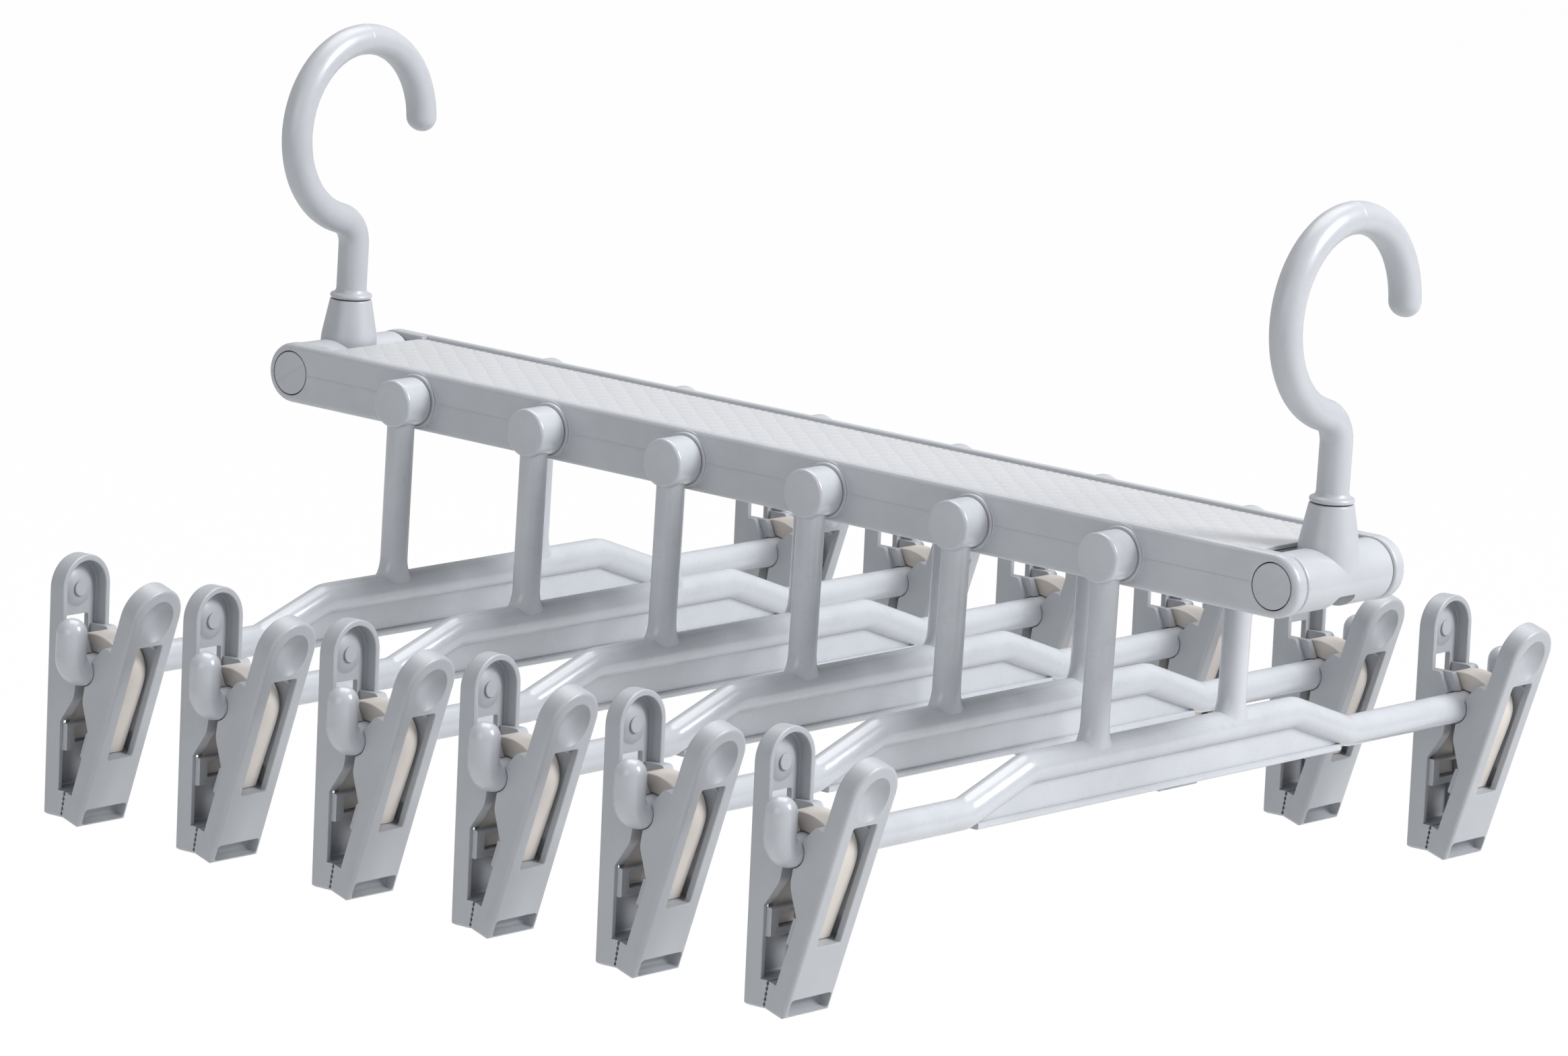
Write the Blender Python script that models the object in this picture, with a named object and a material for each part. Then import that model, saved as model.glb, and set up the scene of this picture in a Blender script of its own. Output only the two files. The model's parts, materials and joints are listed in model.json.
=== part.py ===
"""Tiered trouser hanger.

A flat beam hangs from two swivel hooks. Six hanger frames swing under it on knobs
outside both of its long sides, and each frame carries two sprung clips that slide
on its rods, one near each end.

X runs along the beam, Y across it and Z up. The origin lies midway between the two
hooks, on the line of their seats, where a rail would carry them.
"""

import bmesh
import bpy
from math import ceil, cos, pi, radians, sin, tau
from mathutils import Matrix, Vector

MM = 0.001

# Clearances
GAP = 0.3 * MM
SOCKET_SWING_GAP = 1.2 * MM

# Beam
BEAM_WIDTH = 48 * MM
BEAM_HEIGHT = 17 * MM
BEAM_EDGE_RADIUS = 2.4 * MM
SOCKET_SPACING = 348 * MM
EAR_THICKNESS = 4.8 * MM
RAIL_WIDTH = 2.8 * MM
RAIL_RISE = 1.1 * MM
PANEL_THICKNESS = 1.1 * MM
RECESS_FLOOR = 2.0 * MM
SIDE_WALL = 2.4 * MM
END_WALL = 2.2 * MM
RIB_THICKNESS = 1.6 * MM
RIB_DEPTH = 2.5 * MM

# Hanger pivots
HANGER_COUNT = 6
PIVOT_PITCH = 50 * MM
PIVOT_RING_DIAMETER = 15 * MM
PIVOT_RING_RISE = 1.0 * MM
KNOB_DIAMETER = 13.5 * MM
KNOB_LENGTH = 9.2 * MM
KNOB_BEVEL = 0.8 * MM
PIN_DIAMETER = 6.8 * MM

# Hook sockets
BARREL_DIAMETER = 16.4 * MM
BARREL_BEVEL = 0.7 * MM
TRUNNION_DIAMETER = 12.2 * MM
CONE_BASE_DIAMETER = 16.1 * MM
CONE_TOP_DIAMETER = 11.9 * MM
CONE_SHOULDER_HEIGHT = 8.4 * MM
SEAM_HEIGHT = 19.4 * MM
SNAP_LEDGE_DEPTH = 2.6 * MM
SLOT_LENGTH = 14.4 * MM
SLOT_WIDTH = 8.4 * MM

# Hooks
HOOK_TUBE_DIAMETER = 8.7 * MM
HOOK_RING_RADIUS = 25.9 * MM
HOOK_TIP_RISE = 2.0 * MM
NECK_SLOPE = radians(14)
STEM_LENGTH = 12.3 * MM
COLLAR_DIAMETER = 12.0 * MM
COLLAR_HEIGHT = 3.2 * MM
COLLAR_LIP = 1.4 * MM
SPIGOT_DIAMETER = 5.8 * MM
SNAP_HEAD_DIAMETER = 7.8 * MM
SNAP_HEAD_LENGTH = 2.2 * MM

# Hanger frames
ROD_DIAMETER = 8.5 * MM
POST_DIAMETER = 7.7 * MM
POST_FLARE = 5.0 * MM
POST_FLARE_HEIGHT = 5.0 * MM
BAR_DROP = 52.8 * MM
ROD_DROP = 61.5 * MM
BAR_HALF_LENGTH = 58 * MM
BEND_RUN = 25.5 * MM
BEND_RADIUS = 11 * MM
WEB_THICKNESS = 2.2 * MM
FLANGE_THICKNESS = 4.2 * MM
FLANGE_HEIGHT = 1.9 * MM
STOP_BEND_RADIUS = 6.2 * MM
STOP_RISE = 15.4 * MM

# Clips
CLIP_STATION = 143.5 * MM
CLIP_LEAN = radians(7.5)
JAW_TILT = radians(8.8)
JAW_WIDTH = 18 * MM
JAW_DEPTH = 5.6 * MM
JAW_TOP = 29.5 * MM
JAW_TIP = 42.0 * MM
JAW_WALL = 1.7 * MM
JAW_BACK = 1.8 * MM
TIP_PAD_LENGTH = 7.6 * MM
TIP_PAD_RISE = 1.2 * MM
TOOTH_PITCH = 1.5 * MM
TOOTH_DEPTH = 0.4 * MM
WINDOW_WIDTH = 9.3 * MM
WINDOW_TOP = 9.8 * MM
WINDOW_BOTTOM = -23.5 * MM
SHELF_THICKNESS = 2.0 * MM
LIP_HEIGHT = 5.5 * MM
LIP_THICKNESS = 1.6 * MM
CHEEK_THICKNESS = 3.6 * MM
CHEEK_TOP = 9.4 * MM
CHEEK_BOTTOM = -15.4 * MM
CHEEK_TOP_DEPTH = 8.2 * MM
TONGUE_THICKNESS = 1.9 * MM
TONGUE_TOP_DEPTH = 11.2 * MM
NOTCH_START = radians(33)
NOTCH_END = radians(149)
DIMPLE_DIAMETER = 13.2 * MM
DIMPLE_FLOOR_DIAMETER = 8.4 * MM
DIMPLE_DEPTH = 1.3 * MM
FOOT_CORNER = 1.5 * MM
FOOT_LIP = 1.2 * MM
FOOT_POCKET_HEIGHT = 4.6 * MM
FOOT_POCKET_DEPTH = 4.0 * MM
FOOT_POCKET_WALL = 1.1 * MM

# Clip springs
SPRING_WIDTH = 8.6 * MM
SPRING_ARM_THICKNESS = 2.2 * MM
SPRING_CROWN_THICKNESS = 5.0 * MM
SPRING_CROWN_RISE = 7.0 * MM
SPRING_ARM_OFFSET = 9.2 * MM

# Facets round a full turn
ROD_SIDES = 8
KNOB_SIDES = 10
PIN_SIDES = 6
SOCKET_SIDES = 12
DIMPLE_SIDES = 6

# Facets along arcs
EAR_STEPS = 7
JAW_ARCH_STEPS = 6
HOOK_RING_STEPS = 12
HOOK_NECK_STEPS = 3
NOTCH_STEPS = 3
CROWN_STEPS = 3
BEND_STEP = radians(46)
EDGE_ANGLES = (radians(90), radians(40), 0)
DOME_ANGLES = (0, radians(50))

# Faces that meet at less than this are one flat face
FLAT_ANGLE = radians(0.05)

# Places that follow from the sizes above
HALF_WIDTH = BEAM_WIDTH / 2
EAR_RADIUS = BEAM_HEIGHT / 2
SOCKET_X = SOCKET_SPACING / 2
BARREL_RADIUS = BARREL_DIAMETER / 2
SLOT_HALF_WIDTH = HALF_WIDTH - EAR_THICKNESS
BARREL_HALF_LENGTH = SLOT_HALF_WIDTH - GAP
BEAM_END_FACE = SOCKET_X - BARREL_RADIUS - SOCKET_SWING_GAP
KNOB_BACK = HALF_WIDTH + PIVOT_RING_RISE + GAP
KNOB_FACE = KNOB_BACK + KNOB_LENGTH
POST_Y = KNOB_BACK + KNOB_LENGTH / 2
ROD_RADIUS = ROD_DIAMETER / 2
HOOK_TUBE_RADIUS = HOOK_TUBE_DIAMETER / 2
COLLAR_BASE = SEAM_HEIGHT + GAP
STEM_TOP = COLLAR_BASE + COLLAR_HEIGHT + STEM_LENGTH
NECK_RADIUS = HOOK_RING_RADIUS * sin(NECK_SLOPE) / (1 - sin(NECK_SLOPE))
HOOK_CENTRE = STEM_TOP + (HOOK_RING_RADIUS + NECK_RADIUS) * cos(NECK_SLOPE)
SEAT_HEIGHT = HOOK_CENTRE + HOOK_RING_RADIUS - HOOK_TUBE_RADIUS
TIP_CORNER = (JAW_TIP * sin(JAW_TILT) + GAP / 2) / cos(JAW_TILT)
JAW_RIM = TIP_CORNER + TIP_PAD_RISE
JAW_FACE = JAW_RIM + JAW_DEPTH
JAW_HALF_WIDTH = JAW_WIDTH / 2
STOP_Y = CLIP_STATION + JAW_HALF_WIDTH + GAP + ROD_RADIUS


def clear_scene():
    for item in list(bpy.data.objects):
        bpy.data.objects.remove(item, do_unlink=True)


def material(name, colour, roughness):
    """A plain moulded plastic."""
    plastic = bpy.data.materials.new(name)
    plastic.use_nodes = True
    shader = plastic.node_tree.nodes["Principled BSDF"]
    shader.inputs["Base Color"].default_value = (*colour, 1)
    shader.inputs["Roughness"].default_value = roughness
    shader.inputs["Metallic"].default_value = 0
    return plastic


def mesh_object(name, bm):
    """An object that holds the bmesh, with its faces pointing out."""
    bmesh.ops.recalc_face_normals(bm, faces=bm.faces)
    mesh = bpy.data.meshes.new(name)
    bm.to_mesh(mesh)
    bm.free()
    item = bpy.data.objects.new(name, mesh)
    bpy.context.collection.objects.link(item)
    return item


def add_loft(bm, loops):
    """Joins loops of equally many points, and closes both ends."""
    rings = [[bm.verts.new(point) for point in loop] for loop in loops]
    count = len(rings[0])
    for ring, following in zip(rings, rings[1:]):
        for i in range(count):
            j = (i + 1) % count
            bm.faces.new((ring[i], ring[j], following[j], following[i]))
    bm.faces.new(rings[0])
    bm.faces.new(rings[-1][::-1])


def add_prism(bm, outline, axis, start, end):
    """Extrudes an outline along an axis. The outline holds the two other coordinates."""
    def placed(point, distance):
        values = list(point)
        values.insert("XYZ".index(axis), distance)
        return values
    add_loft(bm, [[placed(point, distance) for point in outline] for distance in (start, end)])


def add_turning(bm, profile, axis, sides, centre=(0, 0, 0)):
    """Turns a profile of (distance along the axis, radius) round an axis."""
    loops = []
    for distance, radius in profile:
        loop = []
        for i in range(sides):
            angle = tau * (i + 0.5) / sides
            values = [radius * cos(angle), radius * sin(angle)]
            values.insert("XYZ".index(axis), distance)
            loop.append(Vector(values) + Vector(centre))
        loops.append(loop)
    add_loft(bm, loops)


def clear_radius(radius, sides):
    """The corner radius of a faceted hole whose flats clear a round piece."""
    return (radius + GAP) / cos(pi / sides)


def add_box(bm, low, high):
    add_prism(bm, [(low[0], low[1]), (high[0], low[1]), (high[0], high[1]), (low[0], high[1])],
              "Z", low[2], high[2])


def rounded_path(corners, step_angle):
    """A path in the YZ plane through (y, z, bend radius) corners, with its bends as arcs."""
    path = [Vector(corners[0][:2])]
    for before, corner, after in zip(corners, corners[1:], corners[2:]):
        point = Vector(corner[:2])
        arriving = (point - Vector(before[:2])).normalized()
        leaving = (Vector(after[:2]) - point).normalized()
        turn = arriving.angle_signed(leaving)
        reach = corner[2] * abs(sin(turn / 2) / cos(turn / 2))
        side = Vector((arriving.y, -arriving.x)) * (1 if turn > 0 else -1)
        start = point - arriving * reach
        centre = start + side * corner[2]
        steps = ceil(abs(turn) / step_angle)
        for step in range(steps + 1):
            swing = Matrix.Rotation(-turn * step / steps, 2)
            path.append(centre + swing @ (start - centre))
    path.append(Vector(corners[-1][:2]))
    return path


def add_tube(bm, path, radius, sides, tips):
    """A round tube along a path in the YZ plane. Each end in tips is closed by a dome."""
    stations = [(point, radius) for point in path]
    if "start" in tips:
        stations = dome(path[0], path[0] - path[1], radius)[::-1] + stations[1:]
    if "end" in tips:
        stations = stations[:-1] + dome(path[-1], path[-1] - path[-2], radius)
    loops = []
    for index, (point, size) in enumerate(stations):
        before = stations[max(index - 1, 0)][0]
        after = stations[min(index + 1, len(stations) - 1)][0]
        ahead = (after - before).normalized()
        normal = Vector((ahead.y, -ahead.x))
        loop = []
        for i in range(sides):
            angle = tau * (i + 0.5) / sides
            offset = normal * (size * cos(angle))
            loop.append((size * sin(angle), point.x + offset.x, point.y + offset.y))
        loops.append(loop)
    add_loft(bm, loops)


def dome(centre, outward, radius):
    """Stations of a rounded tube end, from its full section to its tip."""
    outward = outward.normalized()
    return [(centre + outward * (radius * sin(a)), radius * cos(a)) for a in DOME_ANGLES]


def combine(body, tools):
    """Applies Boolean tools to a body one after another, and removes them."""
    for operation, tool in tools:
        step = body.modifiers.new(operation.lower(), "BOOLEAN")
        step.operation = operation
        step.object = tool
        step.solver = "EXACT"
    bpy.context.view_layer.update()
    evaluated = body.evaluated_get(bpy.context.evaluated_depsgraph_get())
    result = bpy.data.meshes.new_from_object(evaluated)
    result.name = body.name
    bm = bmesh.new()
    bm.from_mesh(result)
    bmesh.ops.dissolve_limit(bm, angle_limit=FLAT_ANGLE, verts=bm.verts, edges=bm.edges)
    bm.to_mesh(result)
    bm.free()
    body.modifiers.clear()
    body.data = result
    for _, tool in tools:
        bpy.data.objects.remove(tool, do_unlink=True)
    return body


def finished(item, plastic, smooth_below=radians(35)):
    """Gives a piece its material and smooth round faces."""
    item.data.materials.clear()
    item.data.materials.append(plastic)
    item.data.shade_smooth()
    item.data.set_sharp_from_angle(angle=smooth_below)
    return item


def copy_of(master, name, parent, matrix):
    """A copy that shares the master's mesh, placed in its parent's frame."""
    item = bpy.data.objects.new(name, master.data)
    bpy.context.collection.objects.link(item)
    item.parent = parent
    item.matrix_basis = matrix
    return item


def frame_empty(name, parent, matrix):
    item = bpy.data.objects.new(name, None)
    bpy.context.collection.objects.link(item)
    item.parent = parent
    item.matrix_basis = matrix
    return item


def pivot_positions():
    middle = (HANGER_COUNT - 1) / 2
    return [(i - middle) * PIVOT_PITCH for i in range(HANGER_COUNT)]


def beam_outline(inset):
    """The beam's side view: a long bar with round ends, drawn in by an inset."""
    radius = EAR_RADIUS - inset
    outline = []
    for side in (1, -1):
        for step in range(EAR_STEPS + 1):
            angle = pi / 2 - pi * step / EAR_STEPS
            outline.append((side * (SOCKET_X + radius * cos(angle)), side * radius * sin(angle)))
    return outline


def build_beam():
    """The moulded beam: ears at both ends, a recess on top, an open ribbed channel below."""
    bm = bmesh.new()
    loops = []
    for side in (-1, 1):
        for angle in EDGE_ANGLES[::-side]:
            inset = BEAM_EDGE_RADIUS * (1 - cos(angle))
            y = side * (HALF_WIDTH - BEAM_EDGE_RADIUS * (1 - sin(angle)))
            loops.append([(x, y, z) for x, z in beam_outline(inset)])
    add_loft(bm, loops)
    beam = mesh_object("beam", bm)

    rings = bmesh.new()
    for x in pivot_positions():
        for side in (-1, 1):
            profile = [(side * (HALF_WIDTH - SIDE_WALL / 2), PIVOT_RING_DIAMETER / 2),
                       (side * (HALF_WIDTH + PIVOT_RING_RISE), PIVOT_RING_DIAMETER / 2)]
            add_turning(rings, profile, "Y", KNOB_SIDES, (x, 0, 0))

    recess_top = EAR_RADIUS - RAIL_RISE - PANEL_THICKNESS - GAP
    ceiling = recess_top - RECESS_FLOOR
    hollows = bmesh.new()
    overrun = EAR_RADIUS + GAP
    add_box(hollows, (-BEAM_END_FACE - GAP, RAIL_WIDTH - HALF_WIDTH, recess_top),
            (BEAM_END_FACE + GAP, HALF_WIDTH - RAIL_WIDTH, overrun))
    channel_end = BEAM_END_FACE - END_WALL
    add_box(hollows, (-channel_end, SIDE_WALL - HALF_WIDTH, -overrun),
            (channel_end, HALF_WIDTH - SIDE_WALL, ceiling))

    slots = bmesh.new()
    for side in (-1, 1):
        ends = sorted((side * BEAM_END_FACE, side * (SOCKET_X + 2 * EAR_RADIUS)))
        add_box(slots, (ends[0], -SLOT_HALF_WIDTH, -2 * EAR_RADIUS),
                (ends[1], SLOT_HALF_WIDTH, 2 * EAR_RADIUS))

    bores = bmesh.new()
    reach = KNOB_FACE
    for x in pivot_positions():
        radius = clear_radius(PIN_DIAMETER / 2, PIN_SIDES)
        add_turning(bores, [(-reach, radius), (reach, radius)], "Y", PIN_SIDES, (x, 0, 0))
    for side in (-1, 1):
        radius = clear_radius(TRUNNION_DIAMETER / 2, SOCKET_SIDES)
        add_turning(bores, [(-reach, radius), (reach, radius)], "Y", SOCKET_SIDES,
                    (side * SOCKET_X, 0, 0))

    ribs = bmesh.new()
    half_span = HALF_WIDTH - SIDE_WALL / 2
    for x in pivot_positions()[:-1]:
        middle = x + PIVOT_PITCH / 2
        add_box(ribs, (middle - RIB_THICKNESS / 2, -half_span, ceiling - RIB_DEPTH),
                (middle + RIB_THICKNESS / 2, half_span, ceiling + RECESS_FLOOR / 2))

    return combine(beam, [
        ("UNION", mesh_object("pivot_rings", rings)),
        ("DIFFERENCE", mesh_object("recess_and_channel", hollows)),
        ("DIFFERENCE", mesh_object("end_slots", slots)),
        ("DIFFERENCE", mesh_object("bores", bores)),
        ("UNION", mesh_object("ribs", ribs)),
    ])


def build_panel():
    """The textured sheet that lies in the beam's top recess."""
    bm = bmesh.new()
    top = EAR_RADIUS - RAIL_RISE
    half_length = BEAM_END_FACE - GAP
    half_width = HALF_WIDTH - RAIL_WIDTH - GAP
    add_box(bm, (-half_length, -half_width, top - PANEL_THICKNESS), (half_length, half_width, top))
    return mesh_object("inlay_panel", bm)


def build_socket():
    """A barrel between the beam's ears, with its two trunnions and an upright cone."""
    bm = bmesh.new()
    end = BARREL_HALF_LENGTH
    half = [(HALF_WIDTH, TRUNNION_DIAMETER / 2), (end, TRUNNION_DIAMETER / 2),
            (end, BARREL_RADIUS - BARREL_BEVEL), (end - BARREL_BEVEL, BARREL_RADIUS)]
    profile = [(-y, radius) for y, radius in half] + half[::-1]
    add_turning(bm, profile, "Y", SOCKET_SIDES)
    socket = mesh_object("socket_master", bm)

    cone = bmesh.new()
    add_turning(cone, [(0, CONE_BASE_DIAMETER / 2), (CONE_SHOULDER_HEIGHT, CONE_BASE_DIAMETER / 2),
                       (SEAM_HEIGHT, CONE_TOP_DIAMETER / 2)], "Z", SOCKET_SIDES)
    bore = bmesh.new()
    bore_radius = clear_radius(SPIGOT_DIAMETER / 2, PIN_SIDES)
    add_turning(bore, [(-BARREL_RADIUS, bore_radius), (SEAM_HEIGHT + GAP, bore_radius)], "Z", PIN_SIDES)
    slot = bmesh.new()
    add_box(slot, (-SLOT_LENGTH / 2, -SLOT_WIDTH / 2, -BARREL_DIAMETER),
            (SLOT_LENGTH / 2, SLOT_WIDTH / 2, -SNAP_LEDGE_DEPTH))
    return combine(socket, [("UNION", mesh_object("cone", cone)),
                            ("DIFFERENCE", mesh_object("hook_bore", bore)),
                            ("DIFFERENCE", mesh_object("underside_slot", slot))])


def build_hook():
    """The hook: a ring open on one side, a neck, a stem with a collar, and a snap-in spigot."""
    tip_angle = HOOK_TIP_RISE / HOOK_RING_RADIUS
    end_angle = 1.5 * pi - NECK_SLOPE
    path = []
    for step in range(HOOK_RING_STEPS + 1):
        angle = tip_angle + (end_angle - tip_angle) * step / HOOK_RING_STEPS
        path.append(Vector((HOOK_RING_RADIUS * cos(angle),
                            HOOK_CENTRE + HOOK_RING_RADIUS * sin(angle))))
    for step in range(1, HOOK_NECK_STEPS + 1):
        slope = NECK_SLOPE + (pi / 2 - NECK_SLOPE) * step / HOOK_NECK_STEPS
        path.append(Vector((-NECK_RADIUS * (1 - sin(slope)), STEM_TOP + NECK_RADIUS * cos(slope))))
    path.append(Vector((0, COLLAR_BASE + COLLAR_HEIGHT / 2)))
    bm = bmesh.new()
    add_tube(bm, path, HOOK_TUBE_RADIUS, ROD_SIDES, ("start",))
    hook = mesh_object("hook_master", bm)

    foot = bmesh.new()
    head_top = -SNAP_LEDGE_DEPTH - GAP
    collar = COLLAR_DIAMETER / 2
    add_turning(foot, [(head_top - SNAP_HEAD_LENGTH, SPIGOT_DIAMETER / 2),
                       (head_top, SNAP_HEAD_DIAMETER / 2),
                       (head_top, SPIGOT_DIAMETER / 2),
                       (COLLAR_BASE, SPIGOT_DIAMETER / 2),
                       (COLLAR_BASE, collar - GAP),
                       (COLLAR_BASE + COLLAR_LIP, collar),
                       (COLLAR_BASE + COLLAR_HEIGHT, HOOK_TUBE_RADIUS)], "Z", ROD_SIDES)
    return combine(hook, [("UNION", mesh_object("collar_and_spigot", foot))])


def hanger_path():
    """The rod from one stop hook to the other, with its raised middle, in the YZ plane."""
    outer = BAR_HALF_LENGTH + BEND_RUN
    half = [(STOP_Y, STOP_RISE - ROD_RADIUS - ROD_DROP, 0),
            (STOP_Y, -ROD_DROP, STOP_BEND_RADIUS),
            (outer, -ROD_DROP, BEND_RADIUS),
            (BAR_HALF_LENGTH, -BAR_DROP, BEND_RADIUS)]
    other = [(-y, z, radius) for y, z, radius in half[::-1]]
    return rounded_path(half + other, BEND_STEP)


def build_hanger():
    """One hanger frame: bent rod, web and flange under it, two posts, two knobs with pins."""
    bm = bmesh.new()
    add_tube(bm, hanger_path(), ROD_RADIUS, ROD_SIDES, ("start", "end"))
    hanger = mesh_object("hanger_master", bm)

    web_foot = ROD_DROP + ROD_RADIUS + GAP
    flange_top = web_foot - FLANGE_HEIGHT
    outer = BAR_HALF_LENGTH + BEND_RUN - ROD_RADIUS
    inner = BAR_HALF_LENGTH - ROD_RADIUS / 2
    web = bmesh.new()
    outline = [(-outer, -ROD_DROP), (-inner, -BAR_DROP), (inner, -BAR_DROP), (outer, -ROD_DROP),
               (outer - ROD_RADIUS / 2, -flange_top - FLANGE_HEIGHT / 2),
               (ROD_RADIUS / 2 - outer, -flange_top - FLANGE_HEIGHT / 2)]
    add_prism(web, outline, "X", -WEB_THICKNESS / 2, WEB_THICKNESS / 2)
    flange = bmesh.new()
    half_flange = FLANGE_THICKNESS / 2
    add_box(flange, (-half_flange, -outer, -web_foot), (half_flange, outer, -flange_top))

    posts = bmesh.new()
    radius = POST_DIAMETER / 2
    flare_foot = ROD_RADIUS / 2 - BAR_DROP
    stations = ((flare_foot, radius + POST_FLARE), (flare_foot + POST_FLARE_HEIGHT, radius), (0, radius))
    for side in (-1, 1):
        loops = []
        for z, reach in stations:
            ring = [tau * (i + 0.5) / ROD_SIDES for i in range(ROD_SIDES)]
            loops.append([(radius * cos(a), side * POST_Y + reach * sin(a), z) for a in ring])
        add_loft(posts, loops)

    knobs = bmesh.new()
    pins = bmesh.new()
    knob = KNOB_DIAMETER / 2
    pin_end = HALF_WIDTH - SIDE_WALL - GAP
    for side in (-1, 1):
        profile = [(KNOB_FACE, knob - KNOB_BEVEL), (KNOB_FACE - KNOB_BEVEL, knob),
                   (KNOB_BACK, knob)]
        add_turning(knobs, [(side * y, size) for y, size in profile], "Y", KNOB_SIDES)
        profile = [(POST_Y, PIN_DIAMETER / 2), (pin_end, PIN_DIAMETER / 2)]
        add_turning(pins, [(side * y, size) for y, size in profile], "Y", PIN_SIDES)

    return combine(hanger, [("UNION", mesh_object("web", web)),
                            ("UNION", mesh_object("flange", flange)),
                            ("UNION", mesh_object("posts", posts)),
                            ("UNION", mesh_object("knobs", knobs)),
                            ("UNION", mesh_object("pins", pins))])


def jaw_outline(half_width, bottom):
    """The jaw's front view, an arch over straight sides, as (y, z) points."""
    centre = JAW_TOP - JAW_HALF_WIDTH
    arch = [pi * step / JAW_ARCH_STEPS for step in range(JAW_ARCH_STEPS + 1)]
    points = [(half_width * cos(angle), centre + half_width * sin(angle)) for angle in arch]
    return points + [(-half_width, bottom), (half_width, bottom)]


def notch_radius():
    """The corner radius of the cheeks' faceted notch, whose flats clear the rod."""
    return (ROD_RADIUS + GAP) / cos((NOTCH_END - NOTCH_START) / (2 * NOTCH_STEPS))


def cheek_outline():
    """One cheek seen from the side: a plate with a round notch that rides on the rod."""
    root = JAW_FACE - JAW_BACK / 2
    radius = notch_radius()
    points = [(root, CHEEK_BOTTOM), (root, CHEEK_TOP), (JAW_FACE - CHEEK_TOP_DEPTH, CHEEK_TOP)]
    for step in range(NOTCH_STEPS + 1):
        angle = NOTCH_START + (NOTCH_END - NOTCH_START) * step / NOTCH_STEPS
        points.append((radius * sin(angle), radius * cos(angle)))
    return points + [(JAW_RIM, CHEEK_BOTTOM)]


def tongue_outline():
    """The plate that carries one cheek on over the rod, past the other jaw's short cheek."""
    radius = notch_radius()
    start = (radius * sin(NOTCH_START), radius * cos(NOTCH_START))
    return [(JAW_RIM, CHEEK_TOP), (JAW_FACE - TONGUE_TOP_DEPTH, CHEEK_TOP), (0, radius), start,
            (JAW_RIM, start[1])]


def pad_outline(pad_top):
    """The toothed tip pad from the side. Its face lies along the clip's middle plane."""
    def face(z, depth=0):
        return ((GAP / 2 - z * sin(JAW_TILT)) / cos(JAW_TILT) + depth, z)
    root = JAW_RIM + JAW_WALL / 2
    points = [(root, pad_top), face(pad_top)]
    for tooth in range(int(TIP_PAD_LENGTH / TOOTH_PITCH)):
        crest = pad_top - TOOTH_PITCH * (tooth + 1)
        points += [face(crest + TOOTH_PITCH / 2, TOOTH_DEPTH), face(crest)]
    return points + [face(-JAW_TIP), (root, -JAW_TIP)]


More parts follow.
